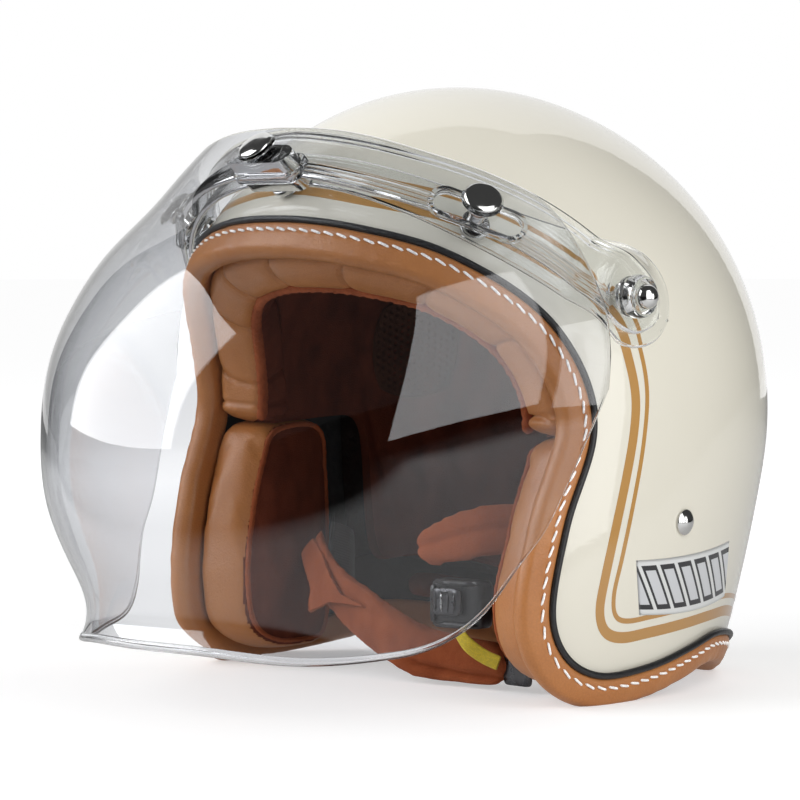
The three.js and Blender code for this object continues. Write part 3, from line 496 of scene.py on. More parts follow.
# Natural cubic through (x, y) knots.
def curveThrough(xs, ys):
    xs, ys = np.asarray(xs, float), np.asarray(ys, float)
    h = np.diff(xs)
    n = len(xs)
    system, right = np.eye(n), np.zeros(n)
    for i in range(1, n - 1):
        system[i, i - 1:i + 2] = h[i - 1], 2 * (h[i - 1] + h[i]), h[i]
        right[i] = 6 * ((ys[i + 1] - ys[i]) / h[i] - (ys[i] - ys[i - 1]) / h[i - 1])
    bend = np.linalg.solve(system, right)

    def at(x):
        x = np.asarray(x, float)
        k = np.clip(np.searchsorted(xs, x), 1, n - 1)
        width = h[k - 1]
        a, b = (xs[k] - x) / width, (x - xs[k - 1]) / width
        sag = ((a ** 3 - a) * bend[k - 1] + (b ** 3 - b) * bend[k]) * width ** 2 / 6
        return a * ys[k - 1] + b * ys[k] + sag
    return at


# Gaussian average round a closed loop, `reach` points wide.
def soften(loop, reach):
    waves = np.fft.fftfreq(len(loop))
    keep = np.exp(-2 * (np.pi * waves * reach) ** 2)
    return np.fft.ifft(np.fft.fft(loop, axis=0) * keep.reshape(-1, *[1] * (loop.ndim - 1)), axis=0).real


def smoothStep(x, low, high):
    t = np.clip((x - low) / (high - low), 0, 1)
    return t * t * (3 - 2 * t)


# Bell curve: exp(-(x / width)^2).
def bell(x, width):
    return np.exp(-(x / width) ** 2)


# 1 along a run, and a quarter circle down to 0 over the last `radius` millimetres before its end.
def roundEnds(end, radius):
    return np.sqrt(np.clip(1 - np.clip(1 - end / radius, 0, 1) ** 2, 0, 1))


# Cosine and sine with their sizes raised to a power: a power below 1 squares the circle.
def squared(angles, power):
    return (np.sign(f) * np.abs(f) ** power for f in (np.cos(angles), np.sin(angles)))


# ---- the shell's surface

shell = {
    "halfWidth": 117.7, "front": 127.3, "back": 141.1, "top": 136.5, "bottom": 302.0, "power": 2.1,
    "pitch": math.radians(15.12), "wall": 3.0, "pole": (0.0, 0.4, 0.917), "rings": 56, "stations": 336,
}
rimKnots = [
    (0, -103.3, 78), (42.8, -96.8, 74.6), (76.8, -78.5, 64.2), (104.9, -50.5, 36.3), (113.3, -38.4, 1.1),
    (111.3, -51.9, -39.5), (109.2, -57.5, -76), (110.1, -50, -91.5), (111.2, -33.6, -99.5), (111.5, -6, -98.8),
    (107.3, 26.2, -93.2), (99, 49, -88.5), (78, 76, -90), (45, 95, -96), (0, 104, -99.5),
]


def mirrorKnots(knots):
    knots = np.asarray(knots, float)
    return np.vstack([knots, knots[-2:0:-1] * [-1, 1, 1]])


def turnPitch(v, sign):
    c, s = math.cos(shell["pitch"]), math.sin(shell["pitch"]) * sign
    return np.stack([v[..., 0], c * v[..., 1] - s * v[..., 2], s * v[..., 1] + c * v[..., 2]], -1)


def eggAxes(v):
    return np.stack([np.full(v.shape[:-1], shell["halfWidth"]),
                     np.where(v[..., 1] < 0, shell["front"], shell["back"]),
                     np.where(v[..., 2] > 0, shell["top"], shell["bottom"])], -1)


# Egg in its own pitched axes: |x/a|^p + |y/b|^p + |z/c|^p = 1, met along each direction.
def onShell(direction):
    v = turnPitch(direction, 1)
    total = (np.abs(v / eggAxes(v)) ** shell["power"]).sum(-1, keepdims=True)
    return direction * total ** (-1 / shell["power"])


# The egg's gradient, turned back from its own axes.
def shellNormal(point):
    v = turnPitch(point, 1)
    axes = eggAxes(v)
    return unit(turnPitch(np.sign(v) * np.abs(v / axes) ** (shell["power"] - 1) / axes, -1))


def offShell(direction, out):
    base = onShell(unit(np.asarray(direction, float)))
    return base + shellNormal(base) * np.broadcast_to(out, base.shape[:-1])[..., None]


# How far a point lies below the shell's surface, measured along the normal over it.
def depthOf(points):
    base = onShell(unit(points))
    return ((base - points) * shellNormal(base)).sum(-1)


# Great-circle way from a to b.
def between(a, b, t):
    angle = np.arccos(np.clip((a * b).sum(-1, keepdims=True), -1, 1))
    return (a * np.sin((1 - t) * angle) + b * np.sin(t * angle)) / np.maximum(np.sin(angle), 1e-9)


pole = unit(np.array(shell["pole"]))


# Rim stations: point, shell normal, way along the rim, way off the shell's edge, and arc length.
def rimStations(count):
    loop = smoothCurve(mirrorKnots(rimKnots), 1344, closed=True)
    point = onShell(unit(soften(loop, 5)))[:: 1344 // count]
    normal = shellNormal(point)
    along = unit(np.roll(point, -1, 0) - np.roll(point, 1, 0))
    off = unit(np.cross(normal, along))
    off = off * -np.sign((off * (pole - point)).sum())
    step = np.linalg.norm(np.roll(point, -1, 0) - point, axis=1)
    return {"point": point, "normal": normal, "along": along, "off": off,
            "run": np.concatenate([[0], np.cumsum(step)[:-1]]), "length": step.sum()}


def someStations(stations, keep):
    return {key: value[keep] if isinstance(value, np.ndarray) else value for key, value in stations.items()}


# Station's point + e along `off` + n along `normal`, no lower than the ground.
def atRim(stations, e, n):
    e, n = (np.asarray(x, float)[..., None] for x in np.broadcast_arrays(e, n))
    p = stations["point"][:, None] + stations["off"][:, None] * e + stations["normal"][:, None] * n
    p[..., 2] = np.maximum(p[..., 2], place["ground"])
    return p


rim = rimStations(672)
coarseRim = rimStations(shell["stations"])


# Layer of the helmet: each ray runs from the rim to the pole at one depth and back at another.
def domeGrid(stations, start, outerDepth, innerDepth, rings):
    direction = unit(stations["point"])
    t = start[:, None] + (1 - start[:, None]) * np.linspace(0, 1, rings + 1)[None]
    rays = between(direction[:, None], pole, t[..., None])
    high = offShell(rays, -outerDepth(rays) if callable(outerDepth) else -outerDepth)
    low = offShell(rays, -innerDepth(rays) if callable(innerDepth) else -innerDepth)
    grid = np.concatenate([high, low[:, ::-1]], 1)
    return closedRows(closedCols(grid))


def makeShell():
    grid = domeGrid(coarseRim, np.zeros(shell["stations"]), 0.0, shell["wall"], shell["rings"])
    choice = np.ones((grid.shape[0] - 1, grid.shape[1] - 1), int)
    choice[:, :shell["rings"]] = 0
    piece = gridPiece("shell_painted", grid, [cream, shellInside], choice, sharp=50)
    install(piece, "helmet", "cream_lacquer", "outer_shell")


# Painted line: a flat band a hair proud of the lacquer, carried along a loop on the shell.
stripes = {
    "wide": {"width": 4.5, "knots": [
        (0, -93.7, 91.6), (38.7, -89.6, 86.9), (74, -68, 76), (97, -43, 58), (106, -22, 40), (113, -17.6, 24),
        (116, -15.6, 10), (117, -16.9, -3), (116.5, -20.5, -19), (115.5, -26.5, -42), (114.5, -31.4, -62),
        (113.5, -33.2, -74), (113, -30, -81.5), (113, -21.5, -84.3), (113, -4, -83.6), (111, 19, -82.6),
        (104, 42, -80.4), (93, 62, -79), (70, 84, -81), (38, 100, -85), (0, 107, -86.5)]},
    "thin": {"width": 2.1, "knots": [
        (0, -86, 100), (40, -82.5, 95), (71.7, -63, 84), (95, -36, 64), (107, -15.5, 44), (113, -10.8, 26),
        (116, -9.4, 12), (117, -12.0, -9), (116.5, -17.0, -31), (115.5, -23.0, -55), (114.5, -26.2, -68),
        (114, -24.6, -76.6), (114, -18.0, -78.2), (114, -4, -77.5), (112, 18, -76.2), (105, 43, -73.9),
        (93, 63, -72.5), (70, 85, -74.5), (38, 101, -78.5), (0, 108.5, -80)]},
}


def makeStripes():
    for name, stripe in stripes.items():
        line = soften(smoothCurve(mirrorKnots(stripe["knots"]), 900, closed=True), 3)
        centre = onShell(unit(line))
        normal = shellNormal(centre)
        along = unit(np.roll(centre, -1, 0) - np.roll(centre, 1, 0))
        across = unit(np.cross(normal, along))
        w = np.array([-0.5, 0, 0.5, 0.5, 0, -0.5]) * stripe["width"]
        out = np.repeat([0.07, -0.4], 3)
        section = offShell(centre[:, None] + across[:, None] * w[:, None], out[None])
        piece = gridPiece(f"stripe_{name}", closedRows(closedCols(section)), [gold], sharp=40)
        install(piece, "helmet", "cream_lacquer")


# Bilinear patch between four corners, pressed on the shell.
decal = {"corners": [(116, -19.3, -52.7), (104.4, 57, -48.8), (98.1, 60.6, -75.1), (114.3, -15, -77.2)],
         "inset": 0.06, "columns": 48, "rows": 18, "half": 0.14}


def makeDecals():
    a, b, c, d = (np.array(p, float) for p in decal["corners"])
    lo, hi = decal["inset"], 1 - decal["inset"]
    u = np.linspace(lo, hi, decal["columns"])[:, None, None]
    v = np.linspace(lo, hi, decal["rows"])[None, :, None]
    flat = (d * (1 - u) + c * u) * (1 - v) + (a * (1 - u) + b * u) * v
    across, up = np.linspace(0, 1, decal["columns"]), np.linspace(0, 1, decal["rows"])
    uvTop = np.stack(np.meshgrid(across, up, indexing="ij"), -1).reshape(-1, 2)
    for side, name in sides:
        direction = unit(flat * [side, 1, 1])
        middle = offShell(direction, 0.0)
        points, faces = thickSheet(middle, shellNormal(onShell(direction)), decal["half"], 1)
        rimUv = np.zeros((len(points) - 2 * len(uvTop), 2))
        piece = makePiece(f"bar_decal_{name}", points, faces, [decalFilm],
                          np.concatenate([uvTop, uvTop, rimUv]))
        install(piece, "helmet", "cream_lacquer")


makeShell()
makeStripes()
makeDecals()
print("shell painted")

# ---- trim, stitches and piping

trim = {
    "knots": [(0.35, 1.4), (3.6, 2.05), (7.5, 1.9), (10.8, 1.0), (12.5, -1.6), (12.4, -5), (10.6, -7.9),
              (6.5, -8.8), (0.6, -8.8), (0.35, -4)],
    "sides": 84, "seamAt": 3.7, "seamDepth": 0.42, "seamWidth": 0.6, "pucker": 0.16, "puckerWidth": 2.2,
    "wrinkle": 0.16, "wrinkleAt": 11, "wrinkleWidth": 2.5, "pitch": 6.0,
}
stitch = {"half": 2.85, "slant": 0.6, "radius": 0.56, "lift": 2.173, "dip": 0.4, "rows": 8, "sides": 6}
piping = {"radius": 1.35, "back": 1.15, "lift": 1.65}


# Rounded section carried round the rim, pressed in along the seam and puckered between stitches.
def makeTrim():
    e, n = smoothCurve(trim["knots"], trim["sides"], closed=True).T
    count = round(rim["length"] / trim["pitch"])
    phase = 2 * np.pi * rim["run"][:, None] * count / rim["length"]
    onTop = (n > 0) * bell(e - trim["seamAt"], trim["seamWidth"])
    around = (n > -1) * bell(e - trim["seamAt"], trim["puckerWidth"])
    wrinkle = trim["wrinkle"] * np.sin(phase / 2.3 + 2.5 * np.sin(phase / 9)) \
        * bell(e - trim["wrinkleAt"], trim["wrinkleWidth"])[None]
    lift = -trim["seamDepth"] * onTop[None] + trim["pucker"] * np.cos(phase) * around[None] + wrinkle
    grid = atRim(rim, np.broadcast_to(e, lift.shape), n + lift)
    piece = gridPiece("trim_leather", closedRows(closedCols(grid)), [leather])
    install(piece, "helmet", "tan_leather", "edge_trim")


# Each stitch is a short thread: slanted across the seam, arched over the leather, thin at its ends.
def makeStitches():
    count = round(rim["length"] / trim["pitch"])
    at = (np.arange(count) + 0.5) * rim["length"] / count
    picked = (np.stack([np.interp(at, rim["run"], values) for values in rim[key].T], 1)
              for key in ("point", "normal", "along", "off"))
    point, normal, along, off = (values[:, None, None] for values in picked)
    u = np.linspace(-1, 1, stitch["rows"])[None, :, None, None]
    turn = np.linspace(0, 2 * np.pi, stitch["sides"] + 1)[None, None, :, None]
    radius = stitch["radius"] * np.sqrt(np.clip(1 - u ** 6, 0, 1))
    lift = stitch["lift"] - stitch["dip"] * u ** 4
    spot = (point + along * u * stitch["half"] + off * (trim["seamAt"] + stitch["slant"] * u)
            + normal * (lift + radius * np.sin(turn)) + off * radius * np.cos(turn))
    rows, cols = stitch["rows"], stitch["sides"] + 1
    one = gridFaces(rows, cols)
    faces = (one[None] + (np.arange(count) * rows * cols)[:, None, None]).reshape(-1, 4)
    spot[..., 2] = np.maximum(spot[..., 2], place["ground"])
    uv = np.stack(np.broadcast_arrays(u[..., 0] * stitch["half"], turn[..., 0] * stitch["radius"]), -1)
    piece = makePiece("trim_stitches", spot, faces, [thread], np.broadcast_to(uv, (count, rows, cols, 2)))
    install(piece, "helmet", "tan_leather")


def makePiping():
    angle = np.linspace(0, 2 * np.pi, 14)
    grid = atRim(rim, -piping["back"] + piping["radius"] * np.cos(angle)[None] + 0 * rim["run"][:, None],
                 piping["lift"] + piping["radius"] * np.sin(angle)[None])
    piece = gridPiece("piping_black", closedRows(grid), [rubber])
    install(piece, "helmet", "black_rubber", "edge_piping")


makeTrim()
makeStitches()
makePiping()
print("trim sewn")

# ---- linings

brow = {"sides": 96, "endRadius": 7.0, "channel": 46.0, "phase": 15.0, "hook": 3.2, "set": 1.0, "lowest": -5.5,
        "creaseDepth": 1.5, "creaseWidth": 0.9, "pillow": 0.9, "pillowWidth": 5, "sunk": 0.9, "sunkOver": 6,
        "endSeamDepth": 1.1, "endSeamAt": 3, "innerDepth": 31.8, "innerReach": 9.0, "least": 9.2,
        # section about the rim: (off the rim, out of the shell)
        "knots": [(-11, -9.6), (-2, -9.5), (6.2, -9.7), (9.6, -12.5), (10.8, -18), (11.0, -24), (10.2, -30),
                  (7.0, -33.6), (0, -34.2), (-8, -33.8), (-11.4, -30), (-11.6, -18)]}
binding = {"off": 8.4, "depth": 32.4, "radius": 2.1, "spread": 1.15, "endRadius": 4}
liner = {"outer": 24.8, "inner": 31.0, "start": 17.0, "rings": 60, "seamX": 36.0, "crease": 1.7,
         "padTop": -4, "padRear": 34}
netPatch = {"centre": (77, 42, 24), "across": 0.21, "up": 0.24, "depth": 33.0, "half": 0.5, "pitch": 3.1,
            "holes": 1.1, "columns": 120, "rows": 136}


# Stations over the brow, in one run that doesn't break at the front.
def browStations():
    shifted = someStations(rim, np.roll(np.arange(672), 336))
    keep = (shifted["point"][:, 2] > brow["lowest"]) & (shifted["point"][:, 1] < 0)
    return someStations(shifted, np.flatnonzero(keep))


# Quilted roll: one section carried along the brow, swollen between hooked seams and round at its ends.
def makeBrowPad():
    stations = browStations()
    run = arcLengths(stations["point"])
    section = smoothCurve(brow["knots"], brow["sides"], closed=True)
    section = np.vstack([section, section[:1]])
    middle = section[:-1].mean(0)
    outward = np.gradient(section, axis=0)
    outward = unit(np.stack([outward[:, 1], -outward[:, 0]], 1))
    outward *= np.sign(((section - middle) * outward).sum())
    depth = (section[:, 1] - middle[1]) / 12
    sense = np.sign(stations["point"][-1, 0] - stations["point"][0, 0])
    # A seam runs straight in from the trim, then hooks sideways at the pad's inner edge.
    hook = brow["hook"] * (depth ** 2 + depth) - brow["set"]
    centred = (run - run[-1] / 2)[:, None] - (sense * hook)[None] + brow["phase"]
    offset = np.abs(centred / brow["channel"] - np.round(centred / brow["channel"])) * brow["channel"]
    swell = brow["pillow"] * (1 - bell(offset, brow["pillowWidth"])) \
        - brow["creaseDepth"] * bell(offset, brow["creaseWidth"])
    end = np.minimum(run, run[-1] - run)[:, None]
    endSeam = brow["endSeamDepth"] * bell(end - brow["endRadius"] - brow["endSeamAt"], brow["creaseWidth"])
    seamed = (swell - endSeam - brow["sunk"]) * np.clip(end / brow["sunkOver"], 0, 1)
    shrink = roundEnds(end, brow["endRadius"])
    e, n = (middle[k] + (section[:, k] - middle[k] + outward[:, k] * seamed) * shrink for k in (0, 1))
    inner = (section[:-1, 1] < -brow["innerDepth"]) & (section[:-1, 0] < brow["innerReach"])
    choice = np.broadcast_to(inner[None], (len(run) - 1, len(inner)))
    grid = atRim(stations, e, np.minimum(n, -brow["least"]))
    piece = gridPiece("brow_quilt", grid, [leather, darkSuede], choice)
    install(piece, "helmet", "tan_leather", "brow_pad")
    # Suede binding along the pad's inner lower edge: a flattened tube with a ragged nap.
    turn = np.linspace(0, 2 * np.pi, 17)
    nap = 1 + 0.10 * np.sin(run / 1.3)[:, None] * np.sin(turn * 3)[None] + 0.08 * np.sin(run / 0.7 + 1)[:, None]
    thin = binding["radius"] * nap * roundEnds(end, binding["endRadius"])
    grid = atRim(stations, binding["off"] + thin * binding["spread"] * np.cos(turn)[None],
                 thin * np.sin(turn)[None] - binding["depth"])
    install(gridPiece("brow_binding", grid, [rustSuede]), "helmet", "suede")


# Depth of the comfort liner: pillows between sewn seams, with slow folds of loose suede.
def linerDepth(rays):
    p = onShell(rays) * 0.76
    x, y, z = np.abs(p[..., 0]), p[..., 1], p[..., 2]
    side = np.abs(x - liner["seamX"] - 0.08 * y)
    across = np.where(x > liner["seamX"], np.abs(y - 26 + 0.25 * z), 99)
    near = np.minimum(side, across)
    folds = 0.9 * np.sin(y / 13 + 1.4 * np.sin(z / 17)) * np.sin(z / 21 + x / 19)
    return liner["inner"] + folds + 1.1 * (1 - bell(near, 8)) - liner["crease"] * bell(near, 1.6)


# The liner starts inside the rim, and clear of the cheek pads where it meets them.
def makeCrownLiner():
    direction = unit(coarseRim["point"])
    t = np.linspace(0, 1, 240)
    rays = onShell(between(direction[:, None], pole, t[None, :, None]))
    clearOfPads = (rays[..., 2] > liner["padTop"]) | (rays[..., 1] > liner["padRear"])
    blocked = np.where(clearOfPads.all(1), 0, t[clearOfPads.shape[1] - 1 - np.argmax(~clearOfPads[:, ::-1], 1)])
    reach = np.linalg.norm(np.diff(rays, axis=1), axis=-1).sum(1)  # from rim to pole
    start = soften(np.maximum(liner["start"] / reach, blocked), 2.5)
    grid = domeGrid(coarseRim, start, liner["outer"], linerDepth, liner["rings"])
    piece = gridPiece("crown_suede", grid, [darkSuede], sharp=60)
    install(piece, "helmet", "suede", "crown_liner")


# Patch about a direction: a rounded square of rays, pitted by three crossed waves.
def makeNetPanel(side, name):
    centre = unit(onShell(unit(np.array(netPatch["centre"], float))) * [side, 1, 1])
    up = unit(np.array([0, 0, 1.0]) - centre * centre[2])
    across = np.cross(up, centre)
    u, v = np.meshgrid(np.linspace(-1, 1, netPatch["columns"]), np.linspace(-1, 1, netPatch["rows"]),
                       indexing="ij")
    x, y = u * np.sqrt(1 - v * v * 0.35) * netPatch["across"], v * np.sqrt(1 - u * u * 0.35) * netPatch["up"]
    rays = unit(centre + across * x[..., None] + up * y[..., None])
    k = 2 * np.pi / netPatch["pitch"] * 100
    waves = np.cos(k * x) + np.cos(k * (x / 2 + y * 0.866)) + np.cos(k * (x / 2 - y * 0.866))
    inner = smoothStep(np.minimum(1 - np.abs(u), 1 - np.abs(v)), 0.05, 0.12)
    pit = netPatch["holes"] * smoothStep(waves, 0.2, 1.6) * inner
    middle = offShell(rays, pit - netPatch["depth"])
    points, faces = thickSheet(middle, shellNormal(onShell(rays)), netPatch["half"], 2)
    piece = makePiece(f"net_patch_{name}", points, faces, [netCloth])
    install(piece, "helmet", "net", f"net_panel_{name}")


makeBrowPad()
makeCrownLiner()
for side, name in sides:
    makeNetPanel(side, name)
print("brow pad, crown and nets in")

# ---- stuffed pads

cloth = {"voxel": 0.0028, "pressure": 4.0, "mass": 0.3, "frames": 20}


def meshArrays(mesh):
    points = np.empty(len(mesh.vertices) * 3, np.float32)
    mesh.vertices.foreach_get("co", points)
    return points.reshape(-1, 3).astype(float)


def evaluatedMesh(piece):
    return bpy.data.meshes.new_from_object(piece.evaluated_get(bpy.context.evaluated_depsgraph_get()))


# Stuffs a closed form: even voxel faces, cloth swollen by inner pressure, each point held within `cap` metres.
# `press` then moves the points, in millimetres, where they belong.
def stuffed(name, points, faces, cap, materials, press):
    rough = makePiece(name + "_rough", points, faces, [])
    even = rough.modifiers.new("even", "REMESH")
    even.mode, even.voxel_size = "VOXEL", cloth["voxel"]
    work = show(bpy.data.objects.new(name, evaluatedMesh(rough)))
    bpy.data.objects.remove(rough)
    start = meshArrays(work.data)
    filling = work.modifiers.new("filling", "CLOTH")
    filling.settings.use_pressure = True
    filling.settings.uniform_pressure_force = cloth["pressure"]
    filling.settings.effector_weights.gravity = 0
    filling.settings.mass = cloth["mass"]
    filling.point_cache.frame_start, filling.point_cache.frame_end = 1, cloth["frames"]
    for step in range(1, cloth["frames"] + 1):
        bpy.context.scene.frame_set(step)
    moved = meshArrays(evaluatedMesh(work)) - start
    length = np.linalg.norm(moved, axis=1, keepdims=True)
    start = start + moved * np.minimum(1, cap / np.maximum(length, 1e-9))
    work.modifiers.remove(filling)
    bpy.context.scene.frame_set(1)
    work.data.vertices.foreach_set("co", start.astype(np.float32).ravel())
    finer = work.modifiers.new("finer", "SUBSURF")
    finer.levels = finer.render_levels = 1
    mesh = evaluatedMesh(work)
    work.modifiers.remove(finer)
    work.data = mesh
    mesh.name = name
    for material in materials:
        mesh.materials.append(material)
    mesh.polygons.foreach_set("use_smooth", np.ones(len(mesh.polygons), bool))
    mesh.vertices.foreach_set("co", toRow(press(fromRow(meshArrays(mesh)))).astype(np.float32).ravel())
    mesh.update()
    return work


# Keeps a pad inside the shell's wall and above the ground.
def insideShell(points, least=4.4):
    base = onShell(unit(points))
    normal = shellNormal(base)
    short = np.maximum(least - ((base - points) * normal).sum(-1), 0)
    points = points - normal * short[:, None]
    points[:, 2] = np.maximum(points[:, 2], place["ground"] + 0.3)
    return points


def mirrorPiece(piece, name):
    mesh = piece.data.copy()
    mesh.name = name
    points = meshArrays(mesh) * [-1, 1, 1]
    mesh.vertices.foreach_set("co", points.astype(np.float32).ravel())
    mesh.flip_normals()
    return show(bpy.data.objects.new(name, mesh))


cheek = {"outer": 10.4, "inner": 36.5, "top": -6.5, "rear": 0.0, "setBack": -6.5, "middle": (114, -26, -54),
         "side": 115.0, "seamDepth": 33.4, "pipe": 1.15, "swell": 0.004, "least": 9.3,
         # (way in from the outline to the middle, part of the way from the outer face to the inner one)
         "knots": [(1.0, -0.1), (0.5, -0.06), (0.14, 0.0), (0.03, 0.03), (-0.015, 0.14), (-0.03, 0.34),
                   (-0.03, 0.66), (-0.015, 0.86), (0.04, 0.97), (0.2, 1.0), (0.6, 1.0), (1.0, 1.0)]}


# Outline of the cheek pad on the shell: along the rim, up the rear edge and along its top, corners rounded.
def cheekOutline():
    x, y, z = rim["point"].T
    keep = (x > 0) & (z < cheek["top"] - 5) & (y < cheek["rear"] - 4)
    front = atRim(someStations(rim, np.flatnonzero(keep)), -cheek["setBack"], 0.0)[:, 0]
    low, high = front[-1], front[0]
    corners = [(cheek["side"], cheek["rear"], low[2] + 5), (cheek["side"], cheek["rear"], cheek["top"] - 5),
               (cheek["side"], cheek["rear"] - 6, cheek["top"]), (cheek["side"], high[1] + 6, cheek["top"])]
    loop = smoothCurve(np.vstack([front[::6], corners]), 200, closed=True)
    return unit(onShell(unit(soften(loop, 1.6))))


# Pad: the outline drawn in towards its middle by t while its depth below the shell follows a rounded profile.
def cheekGrid(outline, middle):
    t, part = smoothCurve(cheek["knots"], 46).T
    depth = cheek["outer"] + (cheek["inner"] - cheek["outer"]) * part
    t[[0, -1]] = 1.0
    return offShell(between(outline[:, None], middle, t[None, :, None]), -depth[None])


# Nearest point of a piece to each spot, and the face's normal there.
def closestOn(piece, spots):
    mesh = piece.data
    tree = BVHTree.FromPolygons([v.co for v in mesh.vertices], [p.vertices[:] for p in mesh.polygons])
    found = [tree.find_nearest(Vector(p)) for p in toRow(spots)]
    on, normals = (np.array([tuple(f[k]) for f in found]) for k in (0, 1))
    return fromRow(on), normals


# Round cord of `radius` along a closed loop of points.
def loopTube(line, radius, sides=10):
    ahead = unit(np.roll(line, -1, 0) - np.roll(line, 1, 0))
    side = unit(np.cross(ahead, [0.3, 0.2, 1.0]))
    other = np.cross(ahead, side)
    angle = np.linspace(0, 2 * np.pi, sides + 1)[None, :, None]
    spokes = side[:, None] * np.cos(angle) + other[:, None] * np.sin(angle)
    return closedRows(line[:, None] + spokes * np.reshape(radius, (-1, 1, 1)))


# The left pad, its suede face and its welt; the right ones are its mirror.
def makeCheekPads():
    outline = cheekOutline()
    middle = unit(onShell(unit(np.array(cheek["middle"], float))))
    grid = closedRows(cheekGrid(outline, middle))
    pad = stuffed("cheek_cushion_left", grid, gridFaces(*grid.shape[:2]), cheek["swell"], [leather, darkSuede],
                  lambda p: insideShell(p, cheek["least"]))
    mesh = pad.data
    middles = np.empty(len(mesh.polygons) * 3, np.float32)
    mesh.polygons.foreach_get("center", middles)
    inner = depthOf(fromRow(middles.reshape(-1, 3).astype(float))) > cheek["seamDepth"]
    mesh.polygons.foreach_set("material_index", inner.astype(np.int32))
    target = offShell(between(outline, middle, 0.03), -cheek["seamDepth"] - 1.5)
    spots, normals = closestOn(pad, target)
    spots = soften(spots, 1.2)
    wave = cheek["pipe"] * (1 + 0.1 * np.sin(np.arange(len(spots)) * 1.9))
    welt = gridPiece("cheek_welt_left", loopTube(spots + normals * 0.3, wave), [rustSuede])
    for side, each in (("left", pad), ("right", mirrorPiece(pad, "cheek_cushion_right"))):
        install(each, "helmet", "tan_leather", f"cheek_pad_{side}")
    for each in (welt, mirrorPiece(welt, "cheek_welt_right")):
        install(each, "helmet", "suede")


neck = {"front": 0.0, "back": -11.0, "outer": 10.4, "inner": 24.0, "startY": 52.0, "endRadius": 7,
        "swell": 0.004}


# Superellipse section along the rear of the rim, narrowing to round ends.
def makeNeckRoll():
    stations = someStations(rim, np.flatnonzero(rim["point"][:, 1] > neck["startY"])[::3])
    c, s = squared(np.linspace(0, 2 * np.pi, 29), 0.8)
    run = stations["run"] - stations["run"][0]
    shrink = roundEnds(np.minimum(run, run[-1] - run), neck["endRadius"])[:, None]
    e = (neck["front"] + neck["back"]) / 2 + c[None] * (neck["front"] - neck["back"]) / 2 * shrink
    n = -(neck["outer"] + neck["inner"]) / 2 + s[None] * (neck["inner"] - neck["outer"]) / 2 * shrink
    grid = atRim(stations, e, n)
    roll = stuffed("neck_cushion", grid, gridFaces(*grid.shape[:2]), neck["swell"], [darkSuede], insideShell)
    install(roll, "helmet", "suede", "neck_roll")


makeCheekPads()
makeNeckRoll()
print("pads stuffed")

# ---- turned hardware


# Each corner of a profile is cut `c` millimetres along both its edges, twice.
def eased(profile, c=0.25):
    for part in (c, c * 0.4):
        made = [profile[0]]
        for before, here, after in zip(profile[:-2], profile[1:-1], profile[2:]):
            for other in (before, after):
                gap = np.subtract(other, here)
                made.append(tuple(np.add(here, gap * min(0.4, part / max(np.hypot(*gap), 1e-9)))))
        profile = made + [profile[-1]]
    return profile


# Profile of (radius, height) turned about `axis` through `base`.
def turnedGrid(profile, base, axis, turns):
    r, h = np.array(profile, float).T
    axis = unit(np.array(axis, float))
    across = unit(np.cross(axis, [0.3, 0.1, 1.0] if abs(axis[2]) < 0.8 else [1.0, 0, 0]))
    other = np.cross(axis, across)
    angle = np.linspace(0, 2 * np.pi, turns + 1)[:, None, None]
    spin = across * np.cos(angle) + other * np.sin(angle)
    return np.asarray(base, float) + spin * r[None, :, None] + axis * h[None, :, None]


# A turned piece on a body, in place of a node; only rings and pieces with raw edges keep sharp ones.
def turnedPiece(name, profile, base, axis, material, body, slot, replaced, turns=56, ease=0.25):
    grid = turnedGrid(eased(profile, ease) if ease else profile, base, axis, turns)
    ring = profile[0] == profile[-1]
    install(gridPiece(name, grid, [material], sharp=55 if ring else None if ease else 40), body, slot, replaced)


def ringProfile(inner, outer, low, high):
    return [(inner, low), (outer, low), (outer, high), (inner, high), (inner, low)]


# Dome from the axis out: height falls as the radius to a power.
def domeTop(radius, top, drop, power=2.6, count=9):
    return [(radius * t, top - drop * t ** power) for t in np.linspace(0, 1, count)]


# ---- visor parts on the shell

band = {"tilt": math.atan2(0.479, 0.878), "baseIn": 5.2, "baseOut": 7.4, "flipIn": 11.6, "flipOut": 14.0,
        "pivotLongitude": 20.2, "pivotLatitude": 14.0, "tip": 18.0, "tipRadius": 4.5,
        # ribs along the band: places across it as a part of its width
        "ribs": (0.05, 0.13, 0.22, 0.78, 0.87, 0.95), "ribWidth": 0.02, "ribHeight": 0.6}
pivot = {"y": -24.0, "z": 50.0, "flatRadius": 14.0, "blendRadius": 25.0, "bore": 3.4,
         "baseFlats": (6.4, 8.6), "flipFlats": (11.0, 13.4)}
ear = {"longitude": 19.0, "latitude": 16.2, "radius": 9.0}
slotSize = {"length": 36.0, "width": 9.5, "rimWidth": 2.2, "rimHeight": 1.0}
snapPlaces = {"centre": (90, 15.8), "left": (50.6, 15.0), "right": (129.4, 15.0)}


# Longitude and latitude about an axis tilted back:
# cos(lon) cos(lat) x + sin(lon) cos(lat) forward + sin(lat) axis.
def bandDirection(longitude, latitude):
    lon, lat = np.radians(longitude)[..., None], np.radians(latitude)[..., None]
    axis = np.array([0, math.sin(band["tilt"]), math.cos(band["tilt"])])
    forward = np.array([0, -math.cos(band["tilt"]), math.sin(band["tilt"])])
    level = np.array([1.0, 0, 0]) * np.cos(lon) + forward * np.sin(lon)
    return level * np.cos(lat) + axis * np.sin(lat)


pivotX = onShell(bandDirection(np.array(band["pivotLongitude"]), np.array(band["pivotLatitude"])))[0]
pivotFoot = np.array([pivotX, pivot["y"], pivot["z"]])


